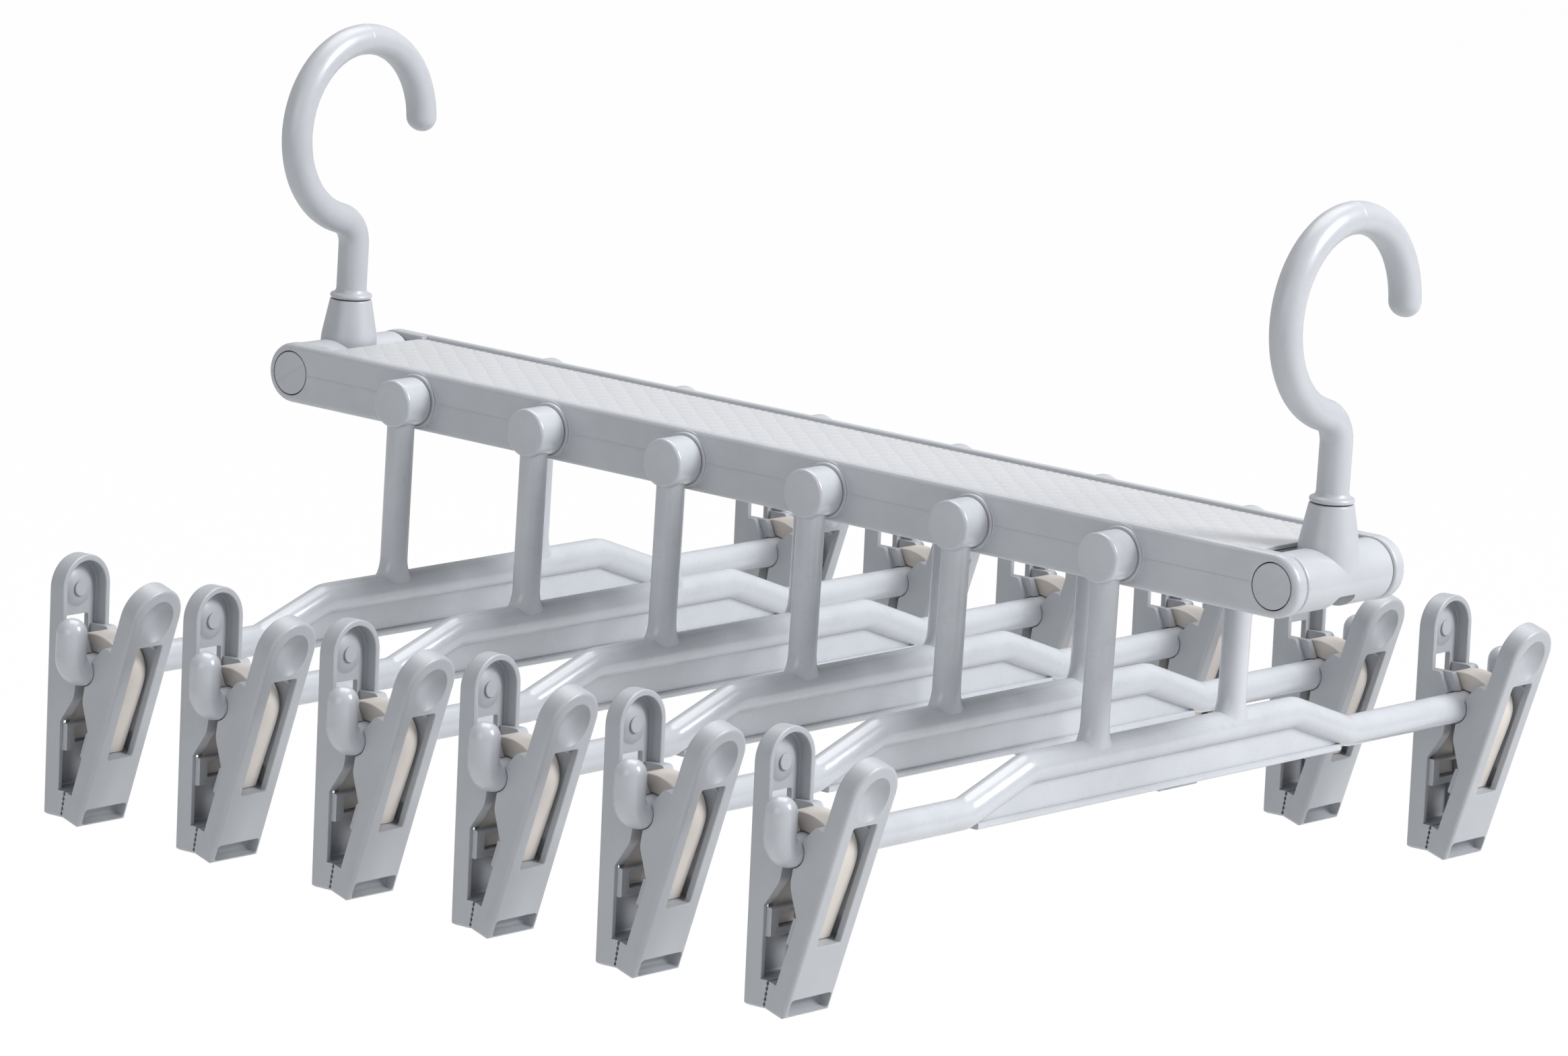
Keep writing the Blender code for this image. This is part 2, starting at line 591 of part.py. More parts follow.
def build_jaw():
    """One clip jaw, upright, with the rod's axis through its origin and its face to +X."""
    bm = bmesh.new()
    add_prism(bm, jaw_outline(JAW_HALF_WIDTH, -JAW_TIP), "X", JAW_RIM, JAW_FACE)
    jaw = mesh_object("jaw_master", bm)

    inside = JAW_FACE - JAW_BACK
    inner_half = JAW_HALF_WIDTH - JAW_WALL
    rooted = inner_half + JAW_WALL / 4
    pad_top = TIP_PAD_LENGTH - JAW_TIP
    hollow = bmesh.new()
    add_prism(hollow, jaw_outline(inner_half, pad_top), "X", JAW_RIM - GAP, inside)

    dimple_z = JAW_TOP - JAW_HALF_WIDTH
    rim = DIMPLE_DIAMETER / 2
    floor = DIMPLE_FLOOR_DIAMETER / 2
    bump = bmesh.new()
    add_turning(bump, [(JAW_FACE - JAW_BACK / 2, rim), (inside, rim),
                       (inside - DIMPLE_DEPTH, floor)], "X", DIMPLE_SIDES, (0, 0, dimple_z))

    sills = bmesh.new()
    half_window = WINDOW_WIDTH / 2
    lip_outside = SPRING_ARM_OFFSET - SPRING_ARM_THICKNESS / 2 - GAP
    lip_inside = lip_outside - LIP_THICKNESS
    add_prism(sills, [(lip_inside, WINDOW_BOTTOM), (JAW_FACE - JAW_BACK / 2, WINDOW_BOTTOM),
                      (JAW_FACE - JAW_BACK / 2, WINDOW_BOTTOM + SHELF_THICKNESS),
                      (lip_outside, WINDOW_BOTTOM + SHELF_THICKNESS),
                      (lip_outside, WINDOW_BOTTOM + SHELF_THICKNESS + LIP_HEIGHT),
                      (lip_inside, WINDOW_BOTTOM + SHELF_THICKNESS + LIP_HEIGHT)],
              "Y", -rooted, rooted)

    cheeks = bmesh.new()
    cheek_inside = JAW_HALF_WIDTH - CHEEK_THICKNESS
    for side in (-1, 1):
        ends = sorted((side * cheek_inside, side * JAW_HALF_WIDTH))
        add_prism(cheeks, cheek_outline(), "Y", *ends)
    tongue = bmesh.new()
    add_prism(tongue, tongue_outline(), "Y", cheek_inside, cheek_inside + TONGUE_THICKNESS)

    cuts = bmesh.new()
    beyond = JAW_FACE + JAW_DEPTH
    add_box(cuts, (inside - GAP, -half_window, WINDOW_BOTTOM + SHELF_THICKNESS),
            (beyond, half_window, WINDOW_TOP))
    add_turning(cuts, [(JAW_FACE + GAP, rim + GAP), (JAW_FACE - DIMPLE_DEPTH, floor)],
                "X", DIMPLE_SIDES, (0, 0, dimple_z))
    pocket_half = JAW_HALF_WIDTH - FOOT_POCKET_WALL
    add_box(cuts, (JAW_FACE - FOOT_POCKET_DEPTH, -pocket_half, FOOT_LIP - JAW_TIP),
            (beyond, pocket_half, FOOT_LIP + FOOT_POCKET_HEIGHT - JAW_TIP))

    corner = bmesh.new()
    add_prism(corner, [(JAW_FACE, FOOT_CORNER - JAW_TIP), (beyond, FOOT_CORNER - JAW_TIP),
                       (beyond, -JAW_TIP - GAP), (JAW_FACE - FOOT_CORNER - GAP, -JAW_TIP - GAP)],
              "Y", -JAW_WIDTH, JAW_WIDTH)

    pad = bmesh.new()
    add_prism(pad, pad_outline(pad_top), "Y", -JAW_HALF_WIDTH, JAW_HALF_WIDTH)

    return combine(jaw, [("DIFFERENCE", mesh_object("tray", hollow)),
                         ("UNION", mesh_object("bump", bump)),
                         ("UNION", mesh_object("sill_and_lip", sills)),
                         ("UNION", mesh_object("cheeks", cheeks)),
                         ("UNION", mesh_object("tongue", tongue)),
                         ("DIFFERENCE", mesh_object("window_dimple_pocket", cuts)),
                         ("DIFFERENCE", mesh_object("foot_corner", corner)),
                         ("UNION", mesh_object("toothed_pad", pad))])


def spring_stations():
    """Centre line and thickness of the C spring's right half, from crown to arm end."""
    stations = []
    for step in range(CROWN_STEPS + 1):
        angle = pi / 2 * step / CROWN_STEPS
        share = sin(angle) ** 2
        thickness = SPRING_CROWN_THICKNESS * (1 - share) + SPRING_ARM_THICKNESS * share
        stations.append((SPRING_ARM_OFFSET * sin(angle), SPRING_CROWN_RISE * cos(angle), thickness))
    arm_end = WINDOW_BOTTOM + SHELF_THICKNESS + GAP
    stations.append((SPRING_ARM_OFFSET, arm_end, SPRING_ARM_THICKNESS))
    return stations


def build_spring():
    """The C spring: its crown arches over the rod, its arms press on the lips of both jaws."""
    tilt = Matrix.Rotation(-JAW_TILT, 2)
    centre_line = []
    for x, z, thickness in spring_stations():
        lean = min(1, x / SPRING_ARM_OFFSET)
        point = Vector((x, z)).lerp(tilt @ Vector((x, z)), lean)
        centre_line.append((point, thickness))
    mirrored = [(Vector((-point.x, point.y)), size) for point, size in centre_line[:0:-1]]
    line = mirrored + centre_line
    upper, lower = [], []
    for index, (point, thickness) in enumerate(line):
        before = line[max(index - 1, 0)][0]
        after = line[min(index + 1, len(line) - 1)][0]
        ahead = (after - before).normalized()
        normal = Vector((-ahead.y, ahead.x)) * (thickness / 2)
        upper.append(point + normal)
        lower.append(point - normal)
    outline = [tuple(point) for point in upper + lower[::-1]]
    bm = bmesh.new()
    add_prism(bm, outline, "Y", -SPRING_WIDTH / 2, SPRING_WIDTH / 2)
    return mesh_object("spring_master", bm)


def build():
    clear_scene()
    satin_grey = material("satin_grey_plastic", (0.56, 0.57, 0.58), 0.42)
    matt_grey = material("matt_grey_plastic", (0.45, 0.46, 0.47), 0.55)
    pearl_grey = material("pearl_grey_plastic", (0.60, 0.62, 0.65), 0.35)
    cream = material("cream_plastic", (0.80, 0.75, 0.69), 0.45)
    pale_grey = material("pale_grey_sheet", (0.66, 0.67, 0.69), 0.60)

    root = frame_empty("product_frame", None, Matrix.Translation((0, 0, -SEAT_HEIGHT)))
    beam = finished(build_beam(), satin_grey)
    panel = finished(build_panel(), pale_grey)
    for item in (beam, panel):
        item.parent = root

    socket = finished(build_socket(), satin_grey)
    hook = finished(build_hook(), satin_grey)
    for side, name in ((-1, "left"), (1, "right")):
        place = Matrix.Translation((side * SOCKET_X, 0, 0))
        copy_of(socket, f"hook_socket_{name}", root, place)
        copy_of(hook, f"hook_{name}", root, place)

    hanger = finished(build_hanger(), pearl_grey)
    jaw = finished(build_jaw(), matt_grey)
    spring = finished(build_spring(), cream)
    tilted = Matrix.Rotation(JAW_TILT, 4, "Y")
    left_tilted = Matrix.Rotation(-JAW_TILT, 4, "Y") @ Matrix.Rotation(pi, 4, "Z")
    lean = Matrix.Rotation(CLIP_LEAN, 4, "Y")
    for number, x in enumerate(pivot_positions(), 1):
        place = Matrix.Translation((x, 0, 0))
        copy_of(hanger, f"hanger_{number}", root, place)
        for side, end in ((-1, "near"), (1, "far")):
            station = Matrix.Translation((x, side * CLIP_STATION, -ROD_DROP)) @ lean
            clip = frame_empty(f"{end}_clip_{number}_frame", root, station)
            copy_of(jaw, f"{end}_clip_{number}_left_jaw", clip, left_tilted)
            copy_of(jaw, f"{end}_clip_{number}_right_jaw", clip, tilted)
            copy_of(spring, f"{end}_clip_{number}_spring", clip, Matrix.Identity(4))

    for master in (socket, hook, hanger, jaw, spring):
        bpy.data.objects.remove(master, do_unlink=True)


build()
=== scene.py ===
"""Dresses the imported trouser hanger: smooth moulded pieces, plastics, floor, light and camera.

The sizes that a piece shares with its solid are repeated here in millimetres. Places come from
the frame: the sockets, the hanger frames and the clips lie where their joints are.
"""

import json
from math import ceil, cos, pi, radians, sin, tau

import bmesh
import bpy
from mathutils import Matrix, Vector


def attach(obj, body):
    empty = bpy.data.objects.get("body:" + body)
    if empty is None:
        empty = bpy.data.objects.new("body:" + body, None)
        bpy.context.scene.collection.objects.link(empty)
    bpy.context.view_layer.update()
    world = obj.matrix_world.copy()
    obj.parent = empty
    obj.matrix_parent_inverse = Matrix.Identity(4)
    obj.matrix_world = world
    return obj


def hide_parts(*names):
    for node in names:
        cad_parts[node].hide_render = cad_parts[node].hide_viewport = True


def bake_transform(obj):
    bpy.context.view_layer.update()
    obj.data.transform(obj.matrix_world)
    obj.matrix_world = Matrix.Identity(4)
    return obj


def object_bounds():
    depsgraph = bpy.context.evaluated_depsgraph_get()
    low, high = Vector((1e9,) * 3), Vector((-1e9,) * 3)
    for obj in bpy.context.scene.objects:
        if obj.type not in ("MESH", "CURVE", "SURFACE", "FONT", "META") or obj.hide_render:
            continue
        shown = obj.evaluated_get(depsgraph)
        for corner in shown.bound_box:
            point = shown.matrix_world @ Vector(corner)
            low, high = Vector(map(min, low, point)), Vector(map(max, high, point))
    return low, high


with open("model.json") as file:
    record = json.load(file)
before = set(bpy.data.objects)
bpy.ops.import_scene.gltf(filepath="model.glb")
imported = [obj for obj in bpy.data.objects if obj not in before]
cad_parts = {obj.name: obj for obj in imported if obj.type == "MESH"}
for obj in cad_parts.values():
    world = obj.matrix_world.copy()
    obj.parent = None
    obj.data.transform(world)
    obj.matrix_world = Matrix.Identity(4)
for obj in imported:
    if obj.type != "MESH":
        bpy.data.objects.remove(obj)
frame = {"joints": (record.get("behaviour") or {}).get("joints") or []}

MM = 0.001
CAD_BOX = [list(corner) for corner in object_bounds()]
JOINTS = {joint["name"]: joint for joint in frame["joints"]}

# Clearance between fitted pieces. Cutting tools often overshoot by as much.
GAP = 0.3 * MM

# Beam and panel
BEAM_WIDTH = 48 * MM
BEAM_HEIGHT = 17 * MM
BEAM_EDGE_RADIUS = 1.7 * MM
EAR_THICKNESS = 4.8 * MM
EAR_INNER_EDGE = 0.9 * MM
EAR_ROOT = 1.5 * MM
SOCKET_SWING_GAP = 1.2 * MM
RAIL_WIDTH = 2.8 * MM
RAIL_RISE = 1.1 * MM
RAIL_INNER_RADIUS = 1.0 * MM
PANEL_THICKNESS = 1.1 * MM
PANEL_EDGE = 0.3 * MM
PANEL_CORNER = 0.6 * MM
RECESS_FLOOR = 2.0 * MM
SIDE_WALL = 2.4 * MM
END_WALL = 2.2 * MM
RIB_THICKNESS = 1.6 * MM
RIB_DEPTH = 2.5 * MM
LINE_RISE = 0.1 * MM
LINE_HEIGHT = 0.3 * MM

# Pivots
PIVOT_RING_DIAMETER = 15 * MM
PIVOT_RING_RISE = 1.0 * MM
PIVOT_RING_EDGE = 0.45 * MM
PIVOT_RING_FOOT = 0.5 * MM
KNOB_DIAMETER = 13.5 * MM
KNOB_LENGTH = 9.2 * MM
KNOB_EDGE_RADIUS = 0.9 * MM
KNOB_BACK_EDGE = 0.3 * MM
PIN_DIAMETER = 6.8 * MM
BORE_EDGE = 0.25 * MM

# Hook sockets
BARREL_DIAMETER = 16.4 * MM
BARREL_EDGE = 0.9 * MM
BARREL_LINE_RISE = 0.07 * MM
TRUNNION_DIAMETER = 12.2 * MM
DISC_EDGE = 0.3 * MM
DISC_LINE_RISE = 0.05 * MM
DISC_LINE_INSET = 0.4 * MM
DISC_LINE_SLOPE = radians(33)
CONE_BASE_DIAMETER = 16.1 * MM
CONE_TOP_DIAMETER = 11.9 * MM
CONE_SHOULDER_HEIGHT = 8.4 * MM
CONE_BEND = 1.6 * MM
CONE_LIP_EDGE = 0.35 * MM
SEAM_HEIGHT = 19.4 * MM
SNAP_LEDGE_DEPTH = 2.6 * MM
SLOT_LENGTH = 14.4 * MM
SLOT_WIDTH = 8.4 * MM
SLOT_CORNER = 1.2 * MM

# Hooks. The gate line falls in the middle of one of the ring's steps.
HOOK_TUBE_DIAMETER = 8.7 * MM
HOOK_RING_RADIUS = 25.9 * MM
HOOK_RING_STEPS = 114
HOOK_TIP_RISE = 2.0 * MM
NECK_SLOPE = radians(14)
NECK_STEPS = 14
STEM_LENGTH = 12.3 * MM
COLLAR_DIAMETER = 12.0 * MM
COLLAR_HEIGHT = 3.2 * MM
COLLAR_LIP = 1.4 * MM
COLLAR_LIP_BULGE = 0.56 * MM
COLLAR_SINK = 0.05 * MM
SPIGOT_DIAMETER = 5.8 * MM
SPIGOT_LENGTH = 4 * MM

# Hanger frames
ROD_DIAMETER = 8.5 * MM
POST_DIAMETER = 7.7 * MM
POST_FLARE = 5.0 * MM
POST_FLARE_HEIGHT = 6.5 * MM
POST_FLARE_START = 0.55
BAR_DROP = 52.8 * MM
ROD_DROP = 61.5 * MM
BAR_HALF_LENGTH = 58 * MM
BEND_RUN = 25.5 * MM
BEND_RADIUS = 11 * MM
BEND_STEP = radians(4)
WEB_THICKNESS = 2.2 * MM
FLANGE_THICKNESS = 4.2 * MM
FLANGE_HEIGHT = 1.9 * MM
FLANGE_EDGE = 0.6 * MM
STOP_BEND_RADIUS = 4.6 * MM
STOP_RISE = 14.8 * MM

# Clips
CLIP_LEAN = radians(7.5)
JAW_TILT = radians(8.8)
JAW_WIDTH = 18 * MM
JAW_DEPTH = 5.6 * MM
JAW_TOP = 29.5 * MM
JAW_TIP = 42.0 * MM
JAW_WALL = 1.7 * MM
JAW_BACK = 1.8 * MM
JAW_FACE_EDGE = 1.1 * MM
JAW_RIM_EDGE = 0.4 * MM
SIDE_CORNER_RADIUS = 0.5 * MM
SMALLEST_CORNER = 0.05 * MM
TRAY_CORNER = 0.8 * MM
TRAY_FLOOR_EDGE = 0.5 * MM
TIP_SIDE_RADIUS = 1.3 * MM
TIP_SIDE_SLACK = 0.02 * MM
TIP_PAD_LENGTH = 7.6 * MM
TIP_PAD_RISE = 1.2 * MM
TIP_PAD_INSET = 0.03 * MM
TOOTH_PITCH = 1.4 * MM
TOOTH_GAP_HEIGHT = 0.9 * MM
TOOTH_GAP_DEPTH = 0.25 * MM
TOOTH_TAPER = 0.8
PAD_TOP_EDGE = ((0, 0.4 * MM), (0.1 * MM, 0.1 * MM), (0.35 * MM, 0))
PAD_FOOT_EDGE = ((0.5 * MM, 0), (0.12 * MM, 0.15 * MM), (0, 0.5 * MM))
WINDOW_WIDTH = 9.3 * MM
WINDOW_TOP = 12.5 * MM
WINDOW_BOTTOM = -23.5 * MM
WINDOW_CORNER = 0.7 * MM
WINDOW_EDGE = 0.35 * MM
SHELF_THICKNESS = 2.0 * MM
LIP_HEIGHT = 5.5 * MM
LIP_THICKNESS = 1.6 * MM
LIP_CHAMFER = 0.3 * MM
LIP_SLOT_WIDTH = 9.6 * MM
LIP_SLOT_HEIGHT = 4.4 * MM
LIP_SLOT_CORNER = 0.4 * MM
LIP_SLOT_REACH = 4.0 * MM
CHEEK_THICKNESS = 3.6 * MM
CHEEK_TOP = 9.4 * MM
CHEEK_BOTTOM = -15.4 * MM
CHEEK_TOP_DEPTH = 8.2 * MM
CHEEK_INSET = 0.05 * MM
CHEEK_STRAIGHT = 4.4 * MM
CHEEK_TOP_CORNER = 0.8 * MM
CHEEK_WAIST_CORNER = 1.2 * MM
TONGUE_THICKNESS = 1.9 * MM
TONGUE_TOP_DEPTH = 11.2 * MM
TONGUE_CORNER = 0.6 * MM
NOTCH_START = radians(33)
NOTCH_END = radians(149)
DIMPLE_CENTRE = 19.9 * MM
DIMPLE_DIAMETER = 12.0 * MM
DIMPLE_SQUEEZE = 0.92
DIMPLE_DEPTH = 2.6 * MM
DIMPLE_EDGE = ((0.2 * MM, 0.6 * MM), (0, 0.45 * MM), (-0.04 * MM, 0.3 * MM), (-0.12 * MM, 0.14 * MM))
DIMPLE_EDGE_DEPTH = 0.25 * MM
DISH_MIDDLE = 0.05 * MM
BUMP_DEPTH = 1.3 * MM
BUMP_INSET = 0.4 * MM
EJECTOR_MARK_DIAMETER = 4.4 * MM
EJECTOR_MARK_RISE = 0.35 * MM
EJECTOR_MARK_EDGE = 0.15 * MM
FOOT_CORNER_RADIUS = 2.0 * MM
FOOT_LIP = 1.2 * MM
FOOT_POCKET_HEIGHT = 4.6 * MM
FOOT_POCKET_DEPTH = 4.0 * MM
FOOT_POCKET_WALL = 1.1 * MM
FOOT_POCKET_CORNER = 1.0 * MM
FOOT_POCKET_EDGE = 0.25 * MM
FOOT_POCKET_STRAIGHT = 0.35
FOOT_POCKET_SLOPE = 0.55

# Clip springs
SPRING_WIDTH = 8.6 * MM
SPRING_ARM_THICKNESS = 2.2 * MM
SPRING_CROWN_THICKNESS = 5.0 * MM
SPRING_CROWN_RISE = 7.0 * MM
SPRING_ARM_OFFSET = 9.2 * MM
SPRING_BOW = 0.9 * MM
SPRING_SQUARENESS = 0.85
SPRING_EDGE = 0.45 * MM
SPRING_SMOOTHINGS = 6

# Surface textures: scales per metre, depths in metres or as a share of the colour, ranges of noise
WIDE_RANGE = (0.3, 0.7)
CLOUD_SCALE = 60.0
CLOUD_DEPTH = 0.035
SPECK_SCALE = 1900.0
SPECK_RANGE = (0.70, 0.78)
SPECK_DEPTH = 0.14
SPECK_TONE = 0.5
GLOSS_SCALE = 240.0
GLOSS_RANGE = (0.25, 0.75)
GLOSS_FALL = 0.05
GLOSS_RISE = 0.06
GRAIN_SCALE = 3200.0
GRAIN_DEPTH = 0.010 * MM
SMUDGE_SCALE = 75.0
SMUDGE_RANGE = (0.52, 0.72)
SCRATCH_SCALE = 420.0
SCRATCH_RANGE = (0.56, 0.66)
SCUFF_TONE = 0.55
PLASTIC_IOR = 1.5
PLASTIC_SPECULAR = 0.75
LEATHER_SCALE = 1500.0
LEATHER_RANGE = (0.35, 0.65)
LEATHER_DEPTH = 0.07 * MM
LEATHER_TONE = 0.93
LEATHER_ROUGHNESS = (0.62, 0.50)
QUILT_LENGTH = 8.0 * MM
QUILT_WIDTH = 7.0 * MM
QUILT_DEPTH = 0.17 * MM
QUILT_FULLNESS = 0.6
# Painted shade in the quilt's creases: how their colour is darkened
CREASE_SHADE_RANGE = (0.1, 0.7)
CREASE_SHADE_TONE = 0.98
QUILT_WAVER = 1.6 * MM
WAVER_SCALE = 130.0
# A row of small dents near the panel's edges, whose shadows are painted dark into the colour
EDGE_DENT_PITCH = 2.4 * MM
EDGE_DENT_REACH = 0.42 * MM
EDGE_DENT_INSET = 1.3 * MM
EDGE_DENT_DEPTH = 0.3 * MM
EDGE_DENT_RANGE = (-0.3, 0.2)
DENT_SHADOW_SHARE = 0.55
DENT_SHADOW_TONE = 0.45

# Facets: sides of a full turn, and steps in a rounded edge
ROUND = 48
FINE_ROUND = 96
TUBE_SIDES = 28
POST_SIDES = 36
PIN_SIDES = 24
DIMPLE_SIDES = 56
BUMP_SIDES = 40
ARCH_STEPS = 28
EAR_STEPS = 16
EDGE_STEPS = 4

# Share of a tube's radius in its rounded tip, share of a side in a fillet, and the angles kept sharp
TIP_ROUNDNESS = 0.97
FILLET_SHARE = 0.45
SHARP_ANGLE = radians(32)
SOCKET_SHARP_ANGLE = radians(9)

# Places that follow
HALF_WIDTH = BEAM_WIDTH / 2
EAR_RADIUS = BEAM_HEIGHT / 2
ROD_RADIUS = ROD_DIAMETER / 2
HOOK_TUBE_RADIUS = HOOK_TUBE_DIAMETER / 2
SOCKET_PIVOT = Vector(JOINTS["right_socket_tilt"]["pos_m"])
SOCKET_X = SOCKET_PIVOT.x
AXIS_Z = SOCKET_PIVOT.z
BARREL_RADIUS = BARREL_DIAMETER / 2
SLOT_HALF_WIDTH = HALF_WIDTH - EAR_THICKNESS
BEAM_END_FACE = SOCKET_X - BARREL_RADIUS - SOCKET_SWING_GAP
KNOB_BACK = HALF_WIDTH + PIVOT_RING_RISE + GAP
KNOB_FACE = KNOB_BACK + KNOB_LENGTH
POST_Y = KNOB_BACK + KNOB_LENGTH / 2
COLLAR_BASE = SEAM_HEIGHT + GAP
STEM_TOP = COLLAR_BASE + COLLAR_HEIGHT + STEM_LENGTH
NECK_RADIUS = HOOK_RING_RADIUS * sin(NECK_SLOPE) / (1 - sin(NECK_SLOPE))
HOOK_CENTRE = STEM_TOP + (HOOK_RING_RADIUS + NECK_RADIUS) * cos(NECK_SLOPE)
TIP_CORNER = (JAW_TIP * sin(JAW_TILT) + GAP / 2) / cos(JAW_TILT)
JAW_RIM = TIP_CORNER + TIP_PAD_RISE
JAW_FACE = JAW_RIM + JAW_DEPTH
JAW_HALF_WIDTH = JAW_WIDTH / 2
CLIP_STATION = abs(JOINTS["far_clip_1_open"]["pos_m"][1])
STOP_Y = CLIP_STATION + JAW_HALF_WIDTH + GAP + ROD_RADIUS
PIVOTS = [joint["pos_m"][0] for name, joint in JOINTS.items() if name.endswith("_swing")]
CORNERS = ((-1, -1), (-1, 1), (1, -1), (1, 1))


# Mesh helpers

def new_object(name, data):
    """An object in the scene that shows some data, such as a mesh."""
    item = bpy.data.objects.new(name, data)
    bpy.context.scene.collection.objects.link(item)
    return item


def new_piece(name, fill, *values):
    """An object whose mesh a function fills from the values, with its faces pointing out."""
    bm = bmesh.new()
    fill(bm, *values)
    bmesh.ops.recalc_face_normals(bm, faces=bm.faces)
    mesh = bpy.data.meshes.new(name)
    bm.to_mesh(mesh)
    bm.free()
    return new_object(name, mesh)


def add_loft(bm, loops):
    """Joins loops of equally many points, and closes both ends."""
    rings = [[bm.verts.new(point) for point in loop] for loop in loops]
    count = len(rings[0])
    for ring, following in zip(rings, rings[1:]):
        for i in range(count):
            j = (i + 1) % count
            bm.faces.new((ring[i], ring[j], following[j], following[i]))
    bm.faces.new(rings[0])
    bm.faces.new(rings[-1][::-1])


def steps_to(total, count):
    """Evenly spaced values from nought to a total, with both ends."""
    return [total * step / count for step in range(count + 1)]


def placed(point, axis, distance):
    """A point in space from its distance along an axis and its two other coordinates."""
    values = list(point)
    values.insert("XYZ".index(axis), distance)
    return Vector(values)


def add_stack(bm, axis, stations):
    """Joins outlines that are stacked along an axis, given as (distance, outline) pairs."""
    add_loft(bm, [[placed(point, axis, distance) for point in outline]
                  for distance, outline in stations])


def add_prism(bm, outline, axis, start, end):
    """Extrudes an outline along an axis."""
    add_stack(bm, axis, ((start, outline), (end, outline)))


def add_turning(bm, profile, axis, sides=ROUND, centre=(0, 0, 0)):
    """Turns a profile of (distance along the axis, radius) round an axis."""
    add_loft(bm, [[placed(point, axis, distance) + Vector(centre) for point in circle(radius, sides)]
                  for distance, radius in profile])


def add_box(bm, low, high):
    """A box between two opposite corners."""
    corners = [(low[0], low[1]), (high[0], low[1]), (high[0], high[1]), (low[0], high[1])]
    add_prism(bm, corners, "Z", low[2], high[2])


def mirrored(half):
    """A whole profile from one half of it, which is given from its far end inwards."""
    return [(-distance, radius) for distance, radius in half] + half[::-1]


def circle(radius, sides):
    """A circle's points in a plane."""
    return [(radius * cos(tau * i / sides), radius * sin(tau * i / sides)) for i in range(sides)]


def edge_round(radius, end=0.0, inwards=1, steps=EDGE_STEPS):
    """A rounded edge as (place, inset) pairs, from the end along the direction that leads inwards."""
    return [(end + inwards * radius * (1 - cos(a)), radius * (1 - sin(a))) for a in steps_to(pi / 2, steps)]


def rounded_rectangle(low, high, radius, grow=0.0):
    """A rectangle in a plane, with round corners, drawn out by grow."""
    points = []
    corners = ((high[0], high[1], 0), (low[0], high[1], 1), (low[0], low[1], 2), (high[0], low[1], 3))
    for x, y, quarter in corners:
        inward = (-1 if x == high[0] else 1, -1 if y == high[1] else 1)
        centre = (x + inward[0] * radius, y + inward[1] * radius)
        for share in steps_to(1, EDGE_STEPS):
            a = pi / 2 * (quarter + share)
            reach = radius + grow
            points.append((centre[0] + reach * cos(a), centre[1] + reach * sin(a)))
    return points


def rounded_corner(before, corner, after, radius):
    """A corner of an outline as a curve, drawn smaller where a side beside it is short."""
    corner = Vector(corner)
    back, ahead = Vector(before) - corner, Vector(after) - corner
    reach = min(radius, back.length * FILLET_SHARE, ahead.length * FILLET_SHARE)
    start, end = corner + back.normalized() * reach, corner + ahead.normalized() * reach
    return [start.lerp(corner, share).lerp(corner.lerp(end, share), share)
            for share in steps_to(1, EDGE_STEPS)]


def rounded_path(corners, step_angle):
    """A path in the YZ plane through (y, z, bend radius) corners, with its bends as arcs."""
    path = [Vector(corners[0][:2])]
    for before, corner, after in zip(corners, corners[1:], corners[2:]):
        point = Vector(corner[:2])
        arriving = (point - Vector(before[:2])).normalized()
        leaving = (Vector(after[:2]) - point).normalized()
        turn = arriving.angle_signed(leaving)
        reach = corner[2] * abs(sin(turn / 2) / cos(turn / 2))
        side = Vector((arriving.y, -arriving.x)) * (1 if turn > 0 else -1)
        start = point - arriving * reach
        centre = start + side * corner[2]
        steps = ceil(abs(turn) / step_angle)
        for step in range(steps + 1):
            swing = Matrix.Rotation(-turn * step / steps, 2)
            path.append(centre + swing @ (start - centre))
    path.append(Vector(corners[-1][:2]))
    return path


def walk(path, distance):
    """The point that lies a distance along a path."""
    for start, end in zip(path, path[1:]):
        span = (end - start).length
        if distance <= span:
            return start.lerp(end, distance / span)
        distance -= span
    return path[-1]


def rounded_tip(path, radius):
    """Stations of a tube's rounded tip at the start of a path, and the path beyond them."""
    end_radius = TIP_ROUNDNESS * radius
    tip = [(walk(path, along), 1 - inset / radius) for along, inset in edge_round(end_radius, steps=7)]
    run = 0
    while run <= end_radius:
        run += (path[1] - path[0]).length
        path = path[1:]
    return tip, path


def add_tube(bm, path, radius, tips):
    """Sweeps a tube along a path in the YZ plane, with rounded tips where they are asked for."""
    first, last = [], []
    if "start" in tips:
        first, path = rounded_tip(path, radius)
    if "end" in tips:
        last, path = rounded_tip(path[::-1], radius)
        path = path[::-1]
    stations = first + [(point, 1.0) for point in path] + last[::-1]
    loops = []
    for (before, _), (point, scale), (after, _) in zip(stations[:1] + stations, stations,
                                                       stations[1:] + stations[-1:]):
        ahead = (after - before).normalized()
        normal, side = Vector((0, ahead.y, -ahead.x)) * scale, Vector((scale, 0, 0))
        middle = Vector((0, point.x, point.y))
        loops.append([middle + normal * u + side * v for u, v in circle(radius, TUBE_SIDES)])
    add_loft(bm, loops)


def combine(body, steps):
    """Applies a body's modifiers, then Boolean steps of an operation and a function for its tool."""
    tools = []
    for operation, fill in steps:
        step = body.modifiers.new(operation.lower(), "BOOLEAN")
        step.operation = operation
        step.object = new_piece("tool", fill)
        step.solver = "EXACT"
        tools.append(step.object)
    bpy.context.view_layer.update()
    evaluated = body.evaluated_get(bpy.context.evaluated_depsgraph_get())
    result = bpy.data.meshes.new_from_object(evaluated)
    body.modifiers.clear()
    body.data = result
    for tool in tools:
        bpy.data.objects.remove(tool, do_unlink=True)
    return body


